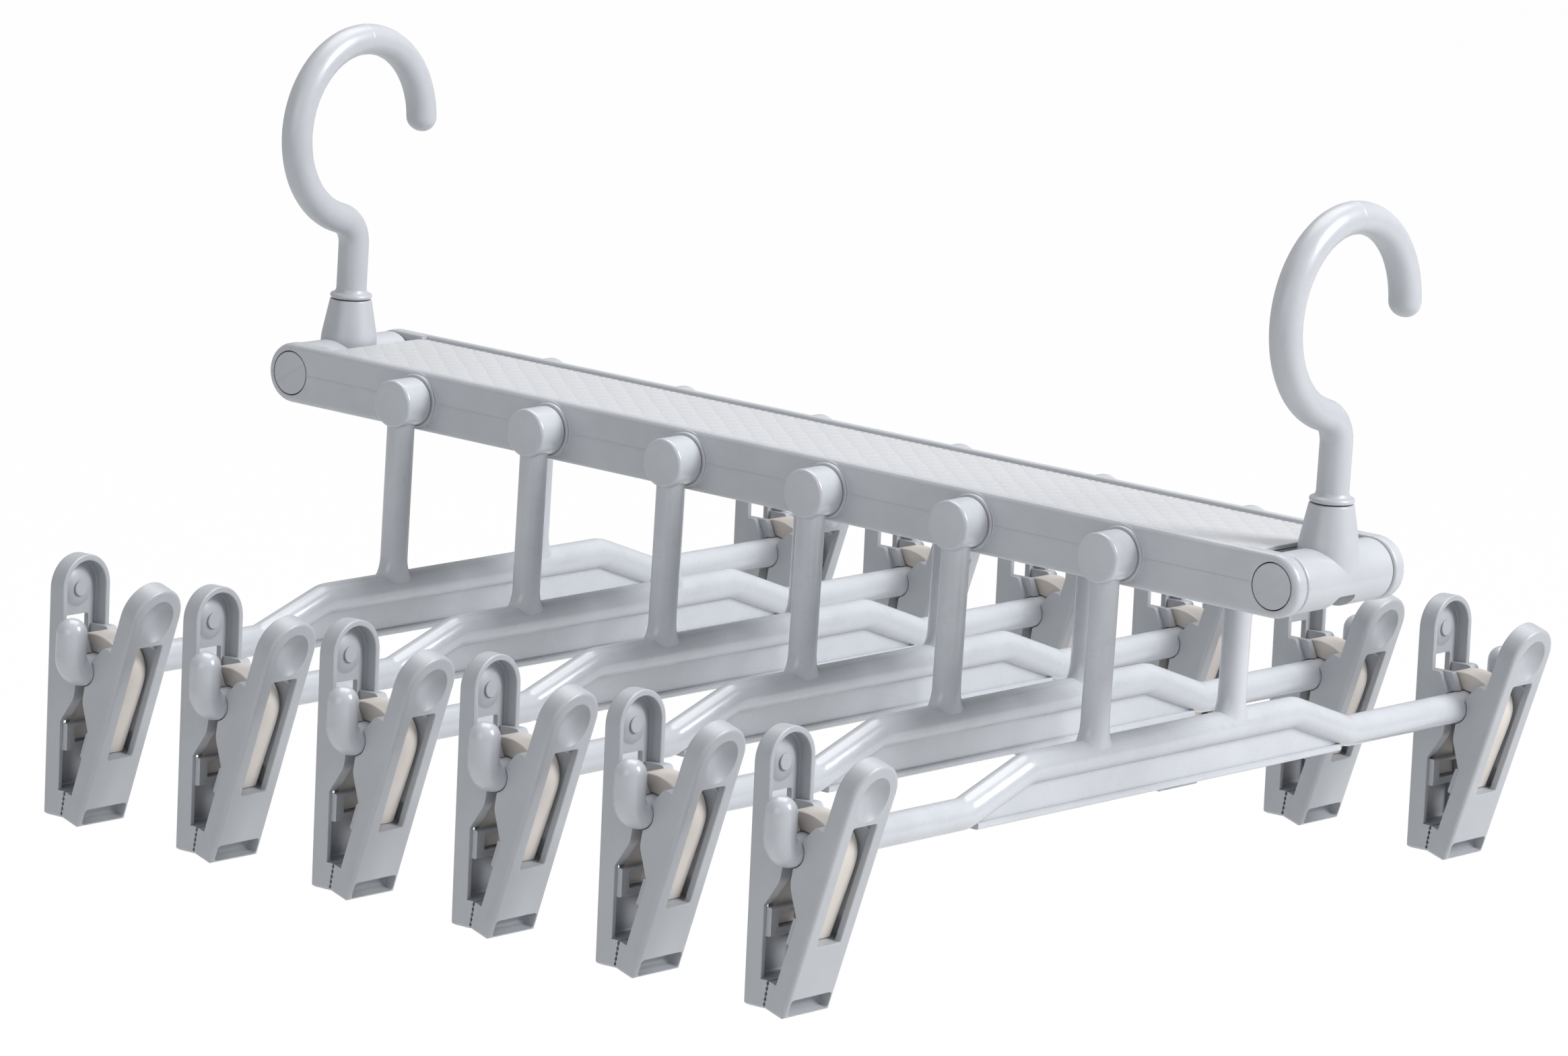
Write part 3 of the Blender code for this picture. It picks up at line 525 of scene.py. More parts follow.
def finished(item, material, sharp_above=SHARP_ANGLE):
    """Gives a piece its material and smooth shading, with flat faces kept flat by weighted normals."""
    item.data.materials.clear()
    item.data.materials.append(material)
    item.data.shade_smooth()
    item.data.set_sharp_from_angle(angle=sharp_above)
    weighted = item.modifiers.new("weighted", "WEIGHTED_NORMAL")
    weighted.mode = "FACE_AREA"
    weighted.keep_sharp = True
    return combine(item, [])


def copy_of(master, name, matrix):
    """A copy that shares the master's mesh."""
    item = new_object(name, master.data)
    item.matrix_world = matrix
    return item


def dress(item, body, node):
    """Makes a piece stand for a node, on that node's body."""
    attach(item, body)
    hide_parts(node)


# Materials

class Nodes:
    """A short way to write a node material."""

    def __init__(self, name):
        self.material = bpy.data.materials.new(name)
        self.material.use_nodes = True
        self.tree = self.material.node_tree
        self.shader = self.tree.nodes["Principled BSDF"]
        self.coordinates = self.tree.nodes.new("ShaderNodeTexCoord").outputs["Object"]

    def node(self, kind, values, **settings):
        item = self.tree.nodes.new(kind)
        for key, value in settings.items():
            setattr(item, key, value)
        for key, value in values.items():
            if isinstance(value, bpy.types.NodeSocket):
                self.tree.links.new(value, item.inputs[key])
            else:
                item.inputs[key].default_value = value
        return item

    def noise(self, scale, detail, roughness=0.5):
        values = {"Vector": self.coordinates, "Scale": scale, "Detail": detail, "Roughness": roughness}
        return self.node("ShaderNodeTexNoise", values).outputs["Fac"]

    def spread(self, value, low, high, to_low=0.0, to_high=1.0):
        """Maps one range of a value to another, with soft ends."""
        values = {"Value": value, "From Min": low, "From Max": high, "To Min": to_low, "To Max": to_high}
        return self.node("ShaderNodeMapRange", values, interpolation_type="SMOOTHSTEP").outputs["Result"]

    def maths(self, operation, first, second=0.5):
        return self.node("ShaderNodeMath", {0: first, 1: second}, operation=operation).outputs["Value"]

    def vectors(self, operation, first, second):
        node = self.node("ShaderNodeVectorMath", {0: first, 1: second}, operation=operation)
        return node.outputs["Vector"]

    def parted(self, vector):
        return self.node("ShaderNodeSeparateXYZ", {"Vector": vector}).outputs

    def mix(self, share, first, second):
        """Blends two colours. The node's colour sockets are its inputs 6 and 7 and its output 2."""
        return self.node("ShaderNodeMix", {0: share, 6: first, 7: second}, data_type="RGBA").outputs[2]

    def bump(self, height, distance, normal=None):
        values = {"Height": height, "Distance": distance, "Strength": 1.0}
        if normal:
            values["Normal"] = normal
        return self.node("ShaderNodeBump", values).outputs["Normal"]

    def give(self, socket, value):
        self.tree.links.new(value, self.shader.inputs[socket])


def scaled(colour, factor):
    """A colour made lighter or darker."""
    return tuple(min(1, value * factor) for value in colour[:3]) + (1,)


def moulded_plastic(name, colour, roughness, scuffs=0.0):
    """Moulded plastic: faint clouds, dark specks, fine grain, an uneven gloss, and scuffs if any."""
    nodes = Nodes(name)
    clouds = nodes.spread(nodes.noise(CLOUD_SCALE, detail=3.0), *WIDE_RANGE)
    tone = nodes.mix(clouds, scaled(colour, 1 - CLOUD_DEPTH), scaled(colour, 1 + CLOUD_DEPTH))
    specks = nodes.spread(nodes.noise(SPECK_SCALE, detail=1.0), *SPECK_RANGE)
    tone = nodes.mix(nodes.maths("MULTIPLY", specks, SPECK_DEPTH), tone, scaled(colour, SPECK_TONE))
    if scuffs:
        smudges = nodes.spread(nodes.noise(SMUDGE_SCALE, detail=6.0, roughness=0.75), *SMUDGE_RANGE)
        scratches = nodes.spread(nodes.noise(SCRATCH_SCALE, detail=5.0, roughness=0.8), *SCRATCH_RANGE)
        wear = nodes.maths("MULTIPLY", nodes.maths("ADD", smudges, scratches), scuffs)
        tone = nodes.mix(wear, tone, scaled(colour, SCUFF_TONE))
    nodes.give("Base Color", tone)
    uneven = nodes.noise(GLOSS_SCALE, detail=4.0, roughness=0.6)
    gloss = (roughness - GLOSS_FALL, roughness + GLOSS_RISE)
    nodes.give("Roughness", nodes.spread(uneven, *GLOSS_RANGE, *gloss))
    nodes.give("Normal", nodes.bump(nodes.noise(GRAIN_SCALE, detail=2.0, roughness=0.6), GRAIN_DEPTH))
    nodes.shader.inputs["IOR"].default_value = PLASTIC_IOR
    nodes.shader.inputs["Specular IOR Level"].default_value = PLASTIC_SPECULAR
    return nodes.material


def quilted_sheet(name, colour):
    """The panel's leather-like sheet, pressed into cells with painted shade in their creases, and dented in
    a row near its edges, with the dents' shadows painted dark.
    """
    nodes = Nodes(name)
    waver = nodes.node("ShaderNodeTexNoise",
                       {"Vector": nodes.coordinates, "Scale": WAVER_SCALE, "Detail": 3.0})
    shift = nodes.vectors("MULTIPLY", waver.outputs["Color"], (QUILT_WAVER,) * 3)
    place = nodes.parted(nodes.vectors("ADD", nodes.coordinates, shift))
    along = nodes.maths("MULTIPLY", place["X"], pi / QUILT_LENGTH)
    across = nodes.maths("MULTIPLY", place["Y"], pi / QUILT_WIDTH)
    ridges = [nodes.maths("ABSOLUTE", nodes.maths("SINE", nodes.maths(kind, along, across)))
              for kind in ("ADD", "SUBTRACT")]
    pillow = nodes.maths("POWER", nodes.maths("MULTIPLY", *ridges), QUILT_FULLNESS)
    grain = nodes.noise(LEATHER_SCALE, detail=3.0, roughness=0.6)
    exact = nodes.parted(nodes.coordinates)
    # Painted shadow: dark dashes along a line of dents near the panel's edges, which are also bumped in
    dent_line_y = HALF_WIDTH - RAIL_WIDTH - EDGE_DENT_INSET
    off_dent_line = nodes.maths("SUBTRACT", nodes.maths("ABSOLUTE", exact["Y"]), dent_line_y)
    on_dent_line = nodes.spread(nodes.maths("ABSOLUTE", off_dent_line), EDGE_DENT_REACH, EDGE_DENT_REACH / 2)
    beat = nodes.maths("SINE", nodes.maths("MULTIPLY", exact["X"], tau / EDGE_DENT_PITCH))
    edge_dents_and_shadow = nodes.maths("MULTIPLY", on_dent_line, nodes.spread(beat, *EDGE_DENT_RANGE))
    # Painted shade: the creases between the cells are coloured a little darker.
    tone = nodes.mix(nodes.spread(pillow, *CREASE_SHADE_RANGE), scaled(colour, CREASE_SHADE_TONE), colour)
    tone = nodes.mix(nodes.spread(grain, *LEATHER_RANGE), scaled(colour, LEATHER_TONE), tone)
    # The dents' shadows are painted into the colour as dark dashes.
    painted_dent_shadow = nodes.maths("MULTIPLY", edge_dents_and_shadow, DENT_SHADOW_SHARE)
    nodes.give("Base Color", nodes.mix(painted_dent_shadow, tone, scaled(colour, DENT_SHADOW_TONE)))
    nodes.give("Roughness", nodes.spread(grain, *WIDE_RANGE, *LEATHER_ROUGHNESS))
    normal = nodes.bump(pillow, QUILT_DEPTH)
    normal = nodes.bump(grain, LEATHER_DEPTH, normal)
    nodes.give("Normal", nodes.bump(edge_dents_and_shadow, -EDGE_DENT_DEPTH, normal))
    return nodes.material


SATIN_GREY = moulded_plastic("satin_grey_plastic_moulded", (0.43, 0.447, 0.478, 1), roughness=0.335)
MATT_GREY = moulded_plastic("matt_grey_plastic_moulded", (0.362, 0.378, 0.405, 1), roughness=0.40)
PEARL_GREY = moulded_plastic("pearl_grey_plastic_moulded", (0.455, 0.473, 0.508, 1), roughness=0.205,
                             scuffs=0.12)
CREAM = moulded_plastic("cream_plastic_moulded", (0.57, 0.53, 0.495, 1), roughness=0.45)
PALE_SHEET = quilted_sheet("pale_grey_sheet_quilted", (0.49, 0.497, 0.517, 1))


# Beam

def beam_outline(inset):
    """The beam's side view: a long bar with round ends, drawn in by an inset."""
    radius = EAR_RADIUS - inset
    return [(side * (SOCKET_X + radius * sin(a)), side * radius * cos(a)) for side in (1, -1)
            for a in steps_to(pi, EAR_STEPS)]


def ear_outline(inset):
    """An ear's side view: a round end on a short root inside the beam."""
    radius = EAR_RADIUS - inset
    root = BEAM_END_FACE - EAR_ROOT
    end = [(SOCKET_X + radius * sin(a), radius * cos(a)) for a in steps_to(pi, EAR_STEPS)]
    return [(root, radius)] + end + [(root, -radius)]


def build_beam():
    """The moulded bar, with its rail, ears, pivot rings, parting line and ribbed underside."""
    near_side = edge_round(BEAM_EDGE_RADIUS, -HALF_WIDTH, steps=6)
    far_side = edge_round(BEAM_EDGE_RADIUS, HALF_WIDTH, -1, steps=6)[::-1]
    beam = new_piece("beam_shell", add_stack, "Y",
                     [(y, beam_outline(inset)) for y, inset in near_side + far_side])
    recess_top = EAR_RADIUS - RAIL_RISE - PANEL_THICKNESS - GAP
    ceiling = recess_top - RECESS_FLOOR

    def beyond_ends(bm):
        for side in (-1, 1):
            ends = sorted((side * BEAM_END_FACE, side * (SOCKET_X + 2 * EAR_RADIUS)))
            add_box(bm, (ends[0], -BEAM_WIDTH, -BEAM_WIDTH), (ends[1], BEAM_WIDTH, BEAM_WIDTH))

    def ears(bm):
        stations = edge_round(EAR_INNER_EDGE, SLOT_HALF_WIDTH) + far_side
        for side_x, side_y in CORNERS:
            add_loft(bm, [[(side_x * x, side_y * y, z) for x, z in ear_outline(inset)]
                          for y, inset in stations])

    def side_lines(bm):
        reach = HALF_WIDTH + LINE_RISE
        add_box(bm, (-BEAM_END_FACE, -reach, -LINE_HEIGHT / 2), (BEAM_END_FACE, reach, LINE_HEIGHT / 2))

    def ear_lines(bm):
        low = (BEAM_END_FACE - END_WALL, SLOT_HALF_WIDTH + LINE_HEIGHT)
        high = (SOCKET_X + EAR_RADIUS, HALF_WIDTH)
        outline = rounded_rectangle(low, high, EAR_THICKNESS / 2 - LINE_HEIGHT, LINE_RISE)
        for side_x, side_y in CORNERS:
            add_prism(bm, [(side_x * x, side_y * y) for x, y in outline], "Z",
                      -LINE_HEIGHT / 2, LINE_HEIGHT / 2)

    def rings(bm):
        outer = PIVOT_RING_DIAMETER / 2
        foot = outer + PIVOT_RING_FOOT
        profile = [(HALF_WIDTH - SIDE_WALL / 2, foot), (HALF_WIDTH, foot),
                   (HALF_WIDTH + PIVOT_RING_FOOT / 2, outer)]
        edge = edge_round(PIVOT_RING_EDGE, HALF_WIDTH + PIVOT_RING_RISE, -1)
        profile += [(y, outer - inset) for y, inset in edge[::-1]]
        for x in PIVOTS:
            for side in (-1, 1):
                add_turning(bm, [(side * y, radius) for y, radius in profile], "Y", centre=(x, 0, 0))

    def recess(bm):
        half = HALF_WIDTH - RAIL_WIDTH
        end = BEAM_END_FACE + GAP
        edge = edge_round(RAIL_INNER_RADIUS, EAR_RADIUS, -1, steps=5)[::-1]
        side = [(half, recess_top)] + [(half + inset, z) for z, inset in edge]
        side += [(half + RAIL_INNER_RADIUS, EAR_RADIUS + GAP)]
        add_prism(bm, [(-half, recess_top)] + side + [(-y, z) for y, z in side[:0:-1]], "X", -end, end)

    def channel(bm):
        end = BEAM_END_FACE - END_WALL
        half = HALF_WIDTH - SIDE_WALL
        add_box(bm, (-end, -half, -EAR_RADIUS - GAP), (end, half, ceiling))

    def bores(bm):
        radius = PIN_DIAMETER / 2 + GAP
        for x in PIVOTS:
            add_turning(bm, [(-KNOB_FACE, radius), (KNOB_FACE, radius)], "Y", PIN_SIDES, (x, 0, 0))
        radius = TRUNNION_DIAMETER / 2 + GAP
        half = [(KNOB_FACE, radius + BORE_EDGE)]
        half += [(y, radius + inset) for y, inset in edge_round(BORE_EDGE, HALF_WIDTH, -1)]
        half += [(SLOT_HALF_WIDTH, radius)]
        for side in (-1, 1):
            add_turning(bm, mirrored(half), "Y", centre=(side * SOCKET_X, 0, 0))

    def ribs(bm):
        half = HALF_WIDTH - SIDE_WALL / 2
        for left, right in zip(sorted(PIVOTS), sorted(PIVOTS)[1:]):
            middle = (left + right) / 2
            add_box(bm, (middle - RIB_THICKNESS / 2, -half, ceiling - RIB_DEPTH),
                    (middle + RIB_THICKNESS / 2, half, ceiling + RECESS_FLOOR / 2))

    return combine(beam, [("UNION", side_lines), ("UNION", rings), ("DIFFERENCE", recess),
                          ("DIFFERENCE", channel), ("DIFFERENCE", beyond_ends), ("UNION", ears),
                          ("UNION", ear_lines), ("DIFFERENCE", bores), ("UNION", ribs)])


def build_panel():
    """The sheet in the beam's top, with soft edges."""
    top = EAR_RADIUS - RAIL_RISE
    half = (BEAM_END_FACE - GAP, HALF_WIDTH - RAIL_WIDTH - GAP)
    levels = [(top - PANEL_THICKNESS, 0)] + edge_round(PANEL_EDGE, top, -1)[::-1]
    return new_piece("panel_sheet", add_stack, "Z",
                     [(z, rounded_rectangle((-half[0], -half[1]), half, PANEL_CORNER, -inset))
                      for z, inset in levels])


# Hook sockets and hooks

def build_socket():
    """The barrel with its trunnions and upright cone."""
    end = SLOT_HALF_WIDTH - GAP
    trunnion = TRUNNION_DIAMETER / 2
    half = [(y, trunnion - inset) for y, inset in edge_round(DISC_EDGE, HALF_WIDTH, -1, steps=10)]
    half += [(end, trunnion)]
    half += [(y, BARREL_RADIUS - inset) for y, inset in edge_round(BARREL_EDGE, end, -1, steps=12)]
    socket = new_piece("socket_master", add_turning, mirrored(half), "Y", FINE_ROUND)

    def cone(bm):
        base, top = CONE_BASE_DIAMETER / 2, CONE_TOP_DIAMETER / 2
        slope = (base - top) / (SEAM_HEIGHT - CONE_SHOULDER_HEIGHT)
        profile = [(0, base)]
        profile += [(CONE_SHOULDER_HEIGHT - CONE_BEND + 2 * CONE_BEND * share,
                     base - slope * CONE_BEND * share ** 2) for share in steps_to(1, 6)]
        profile += [(z, top - inset + slope * (SEAM_HEIGHT - z))
                    for z, inset in edge_round(CONE_LIP_EDGE, SEAM_HEIGHT, -1, steps=10)[::-1]]
        add_turning(bm, profile, "Z", FINE_ROUND)

    def bore(bm):
        radius = SPIGOT_DIAMETER / 2 + GAP
        add_turning(bm, [(-BARREL_RADIUS / 2, radius), (SEAM_HEIGHT + GAP, radius)], "Z")

    def slot(bm):
        low, high = (-SLOT_LENGTH / 2, -SLOT_WIDTH / 2), (SLOT_LENGTH / 2, SLOT_WIDTH / 2)
        outline = rounded_rectangle(low, high, SLOT_CORNER)
        add_prism(bm, outline, "Z", -BARREL_DIAMETER, -SNAP_LEDGE_DEPTH)

    def barrel_lines(bm):
        reach = BARREL_RADIUS + BARREL_LINE_RISE
        half = end - BARREL_EDGE
        add_box(bm, (-reach, -half, -LINE_HEIGHT / 2), (reach, half, LINE_HEIGHT / 2))

    def disc_lines(bm):
        reach = trunnion - DISC_LINE_INSET
        face = HALF_WIDTH + DISC_LINE_RISE
        add_box(bm, (-reach, -face, -LINE_HEIGHT / 3), (reach, face, LINE_HEIGHT / 3))
        bmesh.ops.rotate(bm, verts=bm.verts, matrix=Matrix.Rotation(-DISC_LINE_SLOPE, 3, "Y"))

    return combine(socket, [("UNION", barrel_lines), ("UNION", disc_lines), ("UNION", cone),
                            ("DIFFERENCE", slot), ("DIFFERENCE", bore)])


def build_hook():
    """The hook's ring, neck and stem as one tube, with a turned collar at its foot."""
    tip_angle = (HOOK_TIP_RISE - HOOK_TUBE_RADIUS) / HOOK_RING_RADIUS
    ring = [tip_angle + a for a in steps_to(1.5 * pi - NECK_SLOPE - tip_angle, HOOK_RING_STEPS)]
    neck = [NECK_SLOPE + a for a in steps_to(pi / 2 - NECK_SLOPE, NECK_STEPS)[1:]]
    path = [Vector((HOOK_RING_RADIUS * cos(a), HOOK_CENTRE + HOOK_RING_RADIUS * sin(a))) for a in ring]
    path += [Vector((-NECK_RADIUS * (1 - sin(a)), STEM_TOP + NECK_RADIUS * cos(a))) for a in neck]
    path.append(Vector((0, COLLAR_BASE + COLLAR_HEIGHT / 2)))
    hook = new_piece("hook_master", add_tube, path, HOOK_TUBE_RADIUS, ("start",))

    def collar(bm):
        spigot = SPIGOT_DIAMETER / 2
        rim = COLLAR_DIAMETER / 2
        root = HOOK_TUBE_RADIUS - COLLAR_SINK
        profile = [(SEAM_HEIGHT - SPIGOT_LENGTH, spigot), (COLLAR_BASE, spigot)]
        profile += [(COLLAR_BASE + COLLAR_LIP / 2 * (1 - cos(a)), rim - COLLAR_LIP_BULGE * (1 - sin(a)))
                    for a in steps_to(pi, 8)]
        profile += [(COLLAR_BASE + COLLAR_LIP + (COLLAR_HEIGHT - COLLAR_LIP) * (1 - cos(a)),
                     root + (rim - COLLAR_LIP_BULGE - root) * (1 - sin(a)))
                    for a in steps_to(pi / 2, 6)[1:]]
        add_turning(bm, profile, "Z")

    def gate_line(bm):
        root = HOOK_TUBE_RADIUS - LINE_RISE / 2
        profile = [(-LINE_HEIGHT, root), (0, root + LINE_RISE), (LINE_HEIGHT, root)]
        add_turning(bm, profile, "Y", centre=(0, 0, HOOK_CENTRE + HOOK_RING_RADIUS))

    return combine(hook, [("UNION", collar), ("UNION", gate_line)])


# Hanger frames

def build_hanger():
    """The bent rod with its web, flange, posts and knobs."""
    outer = BAR_HALF_LENGTH + BEND_RUN
    half = [(STOP_Y, STOP_RISE - ROD_DROP, 0), (STOP_Y, -ROD_DROP, STOP_BEND_RADIUS),
            (outer, -ROD_DROP, BEND_RADIUS), (BAR_HALF_LENGTH, -BAR_DROP, BEND_RADIUS)]
    path = rounded_path(half + [(-y, z, radius) for y, z, radius in half[::-1]], BEND_STEP)
    hanger = new_piece("hanger_master", add_tube, path, ROD_RADIUS, ("start", "end"))
    web_foot = ROD_DROP + ROD_RADIUS + GAP
    flange_top = web_foot - FLANGE_HEIGHT
    reach = outer - ROD_RADIUS

    def web(bm):
        inner = BAR_HALF_LENGTH - ROD_RADIUS / 2
        low = -flange_top - FLANGE_HEIGHT / 2
        outline = [(-reach, -ROD_DROP), (-inner, -BAR_DROP), (inner, -BAR_DROP), (reach, -ROD_DROP),
                   (reach - ROD_RADIUS / 2, low), (ROD_RADIUS / 2 - reach, low)]
        add_prism(bm, outline, "X", -WEB_THICKNESS / 2, WEB_THICKNESS / 2)

    def flange(bm):
        wide = FLANGE_THICKNESS / 2
        outline = rounded_rectangle((-wide, -web_foot), (wide, -flange_top), FLANGE_EDGE)
        add_prism(bm, outline, "Y", -reach, reach)

    def posts(bm):
        radius = POST_DIAMETER / 2
        flare_foot = POST_FLARE_START * ROD_RADIUS - BAR_DROP
        stations = [(-BAR_DROP, POST_FLARE)]
        stations += [(flare_foot + POST_FLARE_HEIGHT * (1 - cos(a)), POST_FLARE * (1 - sin(a)))
                     for a in steps_to(pi / 2, 10)]
        stations += [(0, 0)]
        for side in (-1, 1):
            add_stack(bm, "Z", [(z, [(x, side * POST_Y + y * (radius + flare) / radius)
                                     for x, y in circle(radius, POST_SIDES)]) for z, flare in stations])

    def knobs(bm):
        rim = KNOB_DIAMETER / 2
        front = edge_round(KNOB_EDGE_RADIUS, KNOB_FACE, -1, steps=5)
        back = edge_round(KNOB_BACK_EDGE, KNOB_BACK, steps=3)[::-1]
        for side in (-1, 1):
            add_turning(bm, [(side * y, rim - inset) for y, inset in front + back], "Y")

    def pins(bm):
        radius = PIN_DIAMETER / 2
        end = HALF_WIDTH - SIDE_WALL - GAP
        for side in (-1, 1):
            add_turning(bm, [(side * POST_Y, radius), (side * end, radius)], "Y", PIN_SIDES)

    return combine(hanger, [("UNION", web), ("UNION", flange), ("UNION", posts), ("UNION", knobs),
                            ("UNION", pins)])


# Clips

def jaw_outline(half_width, bottom, corner, grow=0.0):
    """The jaw's front view, an arch over straight sides with round lower corners, as (y, z)."""
    centre = JAW_TOP - JAW_HALF_WIDTH
    reach = half_width + grow
    points = [(reach * cos(a), centre + reach * sin(a)) for a in steps_to(pi, ARCH_STEPS)]
    turn = max(corner + grow, SMALLEST_CORNER)
    middle_z = bottom - grow + turn
    for middle_y, start in ((turn - reach, pi), (reach - turn, 1.5 * pi)):
        points += [(middle_y + turn * cos(start + a), middle_z + turn * sin(start + a))
                   for a in steps_to(pi / 2, EDGE_STEPS)]
    return points


def notch(start, end, steps):
    """The part of the notch round the rod between two angles from upright, as (x, z)."""
    radius = ROD_RADIUS + GAP
    return [(radius * sin(start + a), radius * cos(start + a)) for a in steps_to(end - start, steps)]


def cheek_outline():
    """One cheek seen from the side: a plate with a round notch that rides on the rod."""
    root = JAW_FACE - JAW_BACK / 2
    top, bottom = (JAW_RIM, CHEEK_TOP), (JAW_RIM, CHEEK_BOTTOM)
    corner = (JAW_FACE - CHEEK_TOP_DEPTH, CHEEK_TOP)
    ride = notch(NOTCH_START, NOTCH_END, steps=16)
    waist = (ride[-1][0] + CHEEK_STRAIGHT * sin(JAW_TILT), ride[-1][1] - CHEEK_STRAIGHT)
    return ([(root, CHEEK_BOTTOM), (root, CHEEK_TOP)]
            + rounded_corner(top, corner, ride[0], CHEEK_TOP_CORNER) + ride
            + rounded_corner(ride[-1], waist, bottom, CHEEK_WAIST_CORNER) + [bottom])


def tongue_outline():
    """The plate that carries one cheek on over the rod, past the other jaw's short cheek."""
    top = (JAW_RIM, CHEEK_TOP)
    corner = (JAW_FACE - TONGUE_TOP_DEPTH, CHEEK_TOP)
    ride = notch(0, NOTCH_START, steps=5)
    return [top] + rounded_corner(top, corner, ride[0], TONGUE_CORNER) + ride + [(JAW_RIM, ride[-1][1])]


def pad_outline(pad_top):
    """The toothed tip pad from the side. Its face lies along the clip's middle plane."""
    def face(z, depth=0.0):
        return ((GAP / 2 - z * sin(JAW_TILT)) / cos(JAW_TILT) + depth, z)
    root = JAW_RIM + JAW_WALL / 2
    half = TOOTH_GAP_HEIGHT / 2
    points = [(root, pad_top)] + [face(pad_top - fall, depth) for fall, depth in PAD_TOP_EDGE]
    for tooth in range(int(TIP_PAD_LENGTH / TOOTH_PITCH)):
        z = pad_top - TOOTH_PITCH * (tooth + 0.5)
        points += [face(z + half), face(z + half * TOOTH_TAPER, TOOTH_GAP_DEPTH),
                   face(z - half * TOOTH_TAPER, TOOTH_GAP_DEPTH), face(z - half)]
    return points + [face(rise - JAW_TIP, depth) for rise, depth in PAD_FOOT_EDGE] + [(root, -JAW_TIP)]


def dish(depth, rim, top):
    """A shallow dish as (distance, radius) pairs, from its rim to its middle."""
    return [(top - depth * (1 - (1 - share) ** 2), rim * (1 - share) + DISH_MIDDLE)
            for share in steps_to(1, 8)]


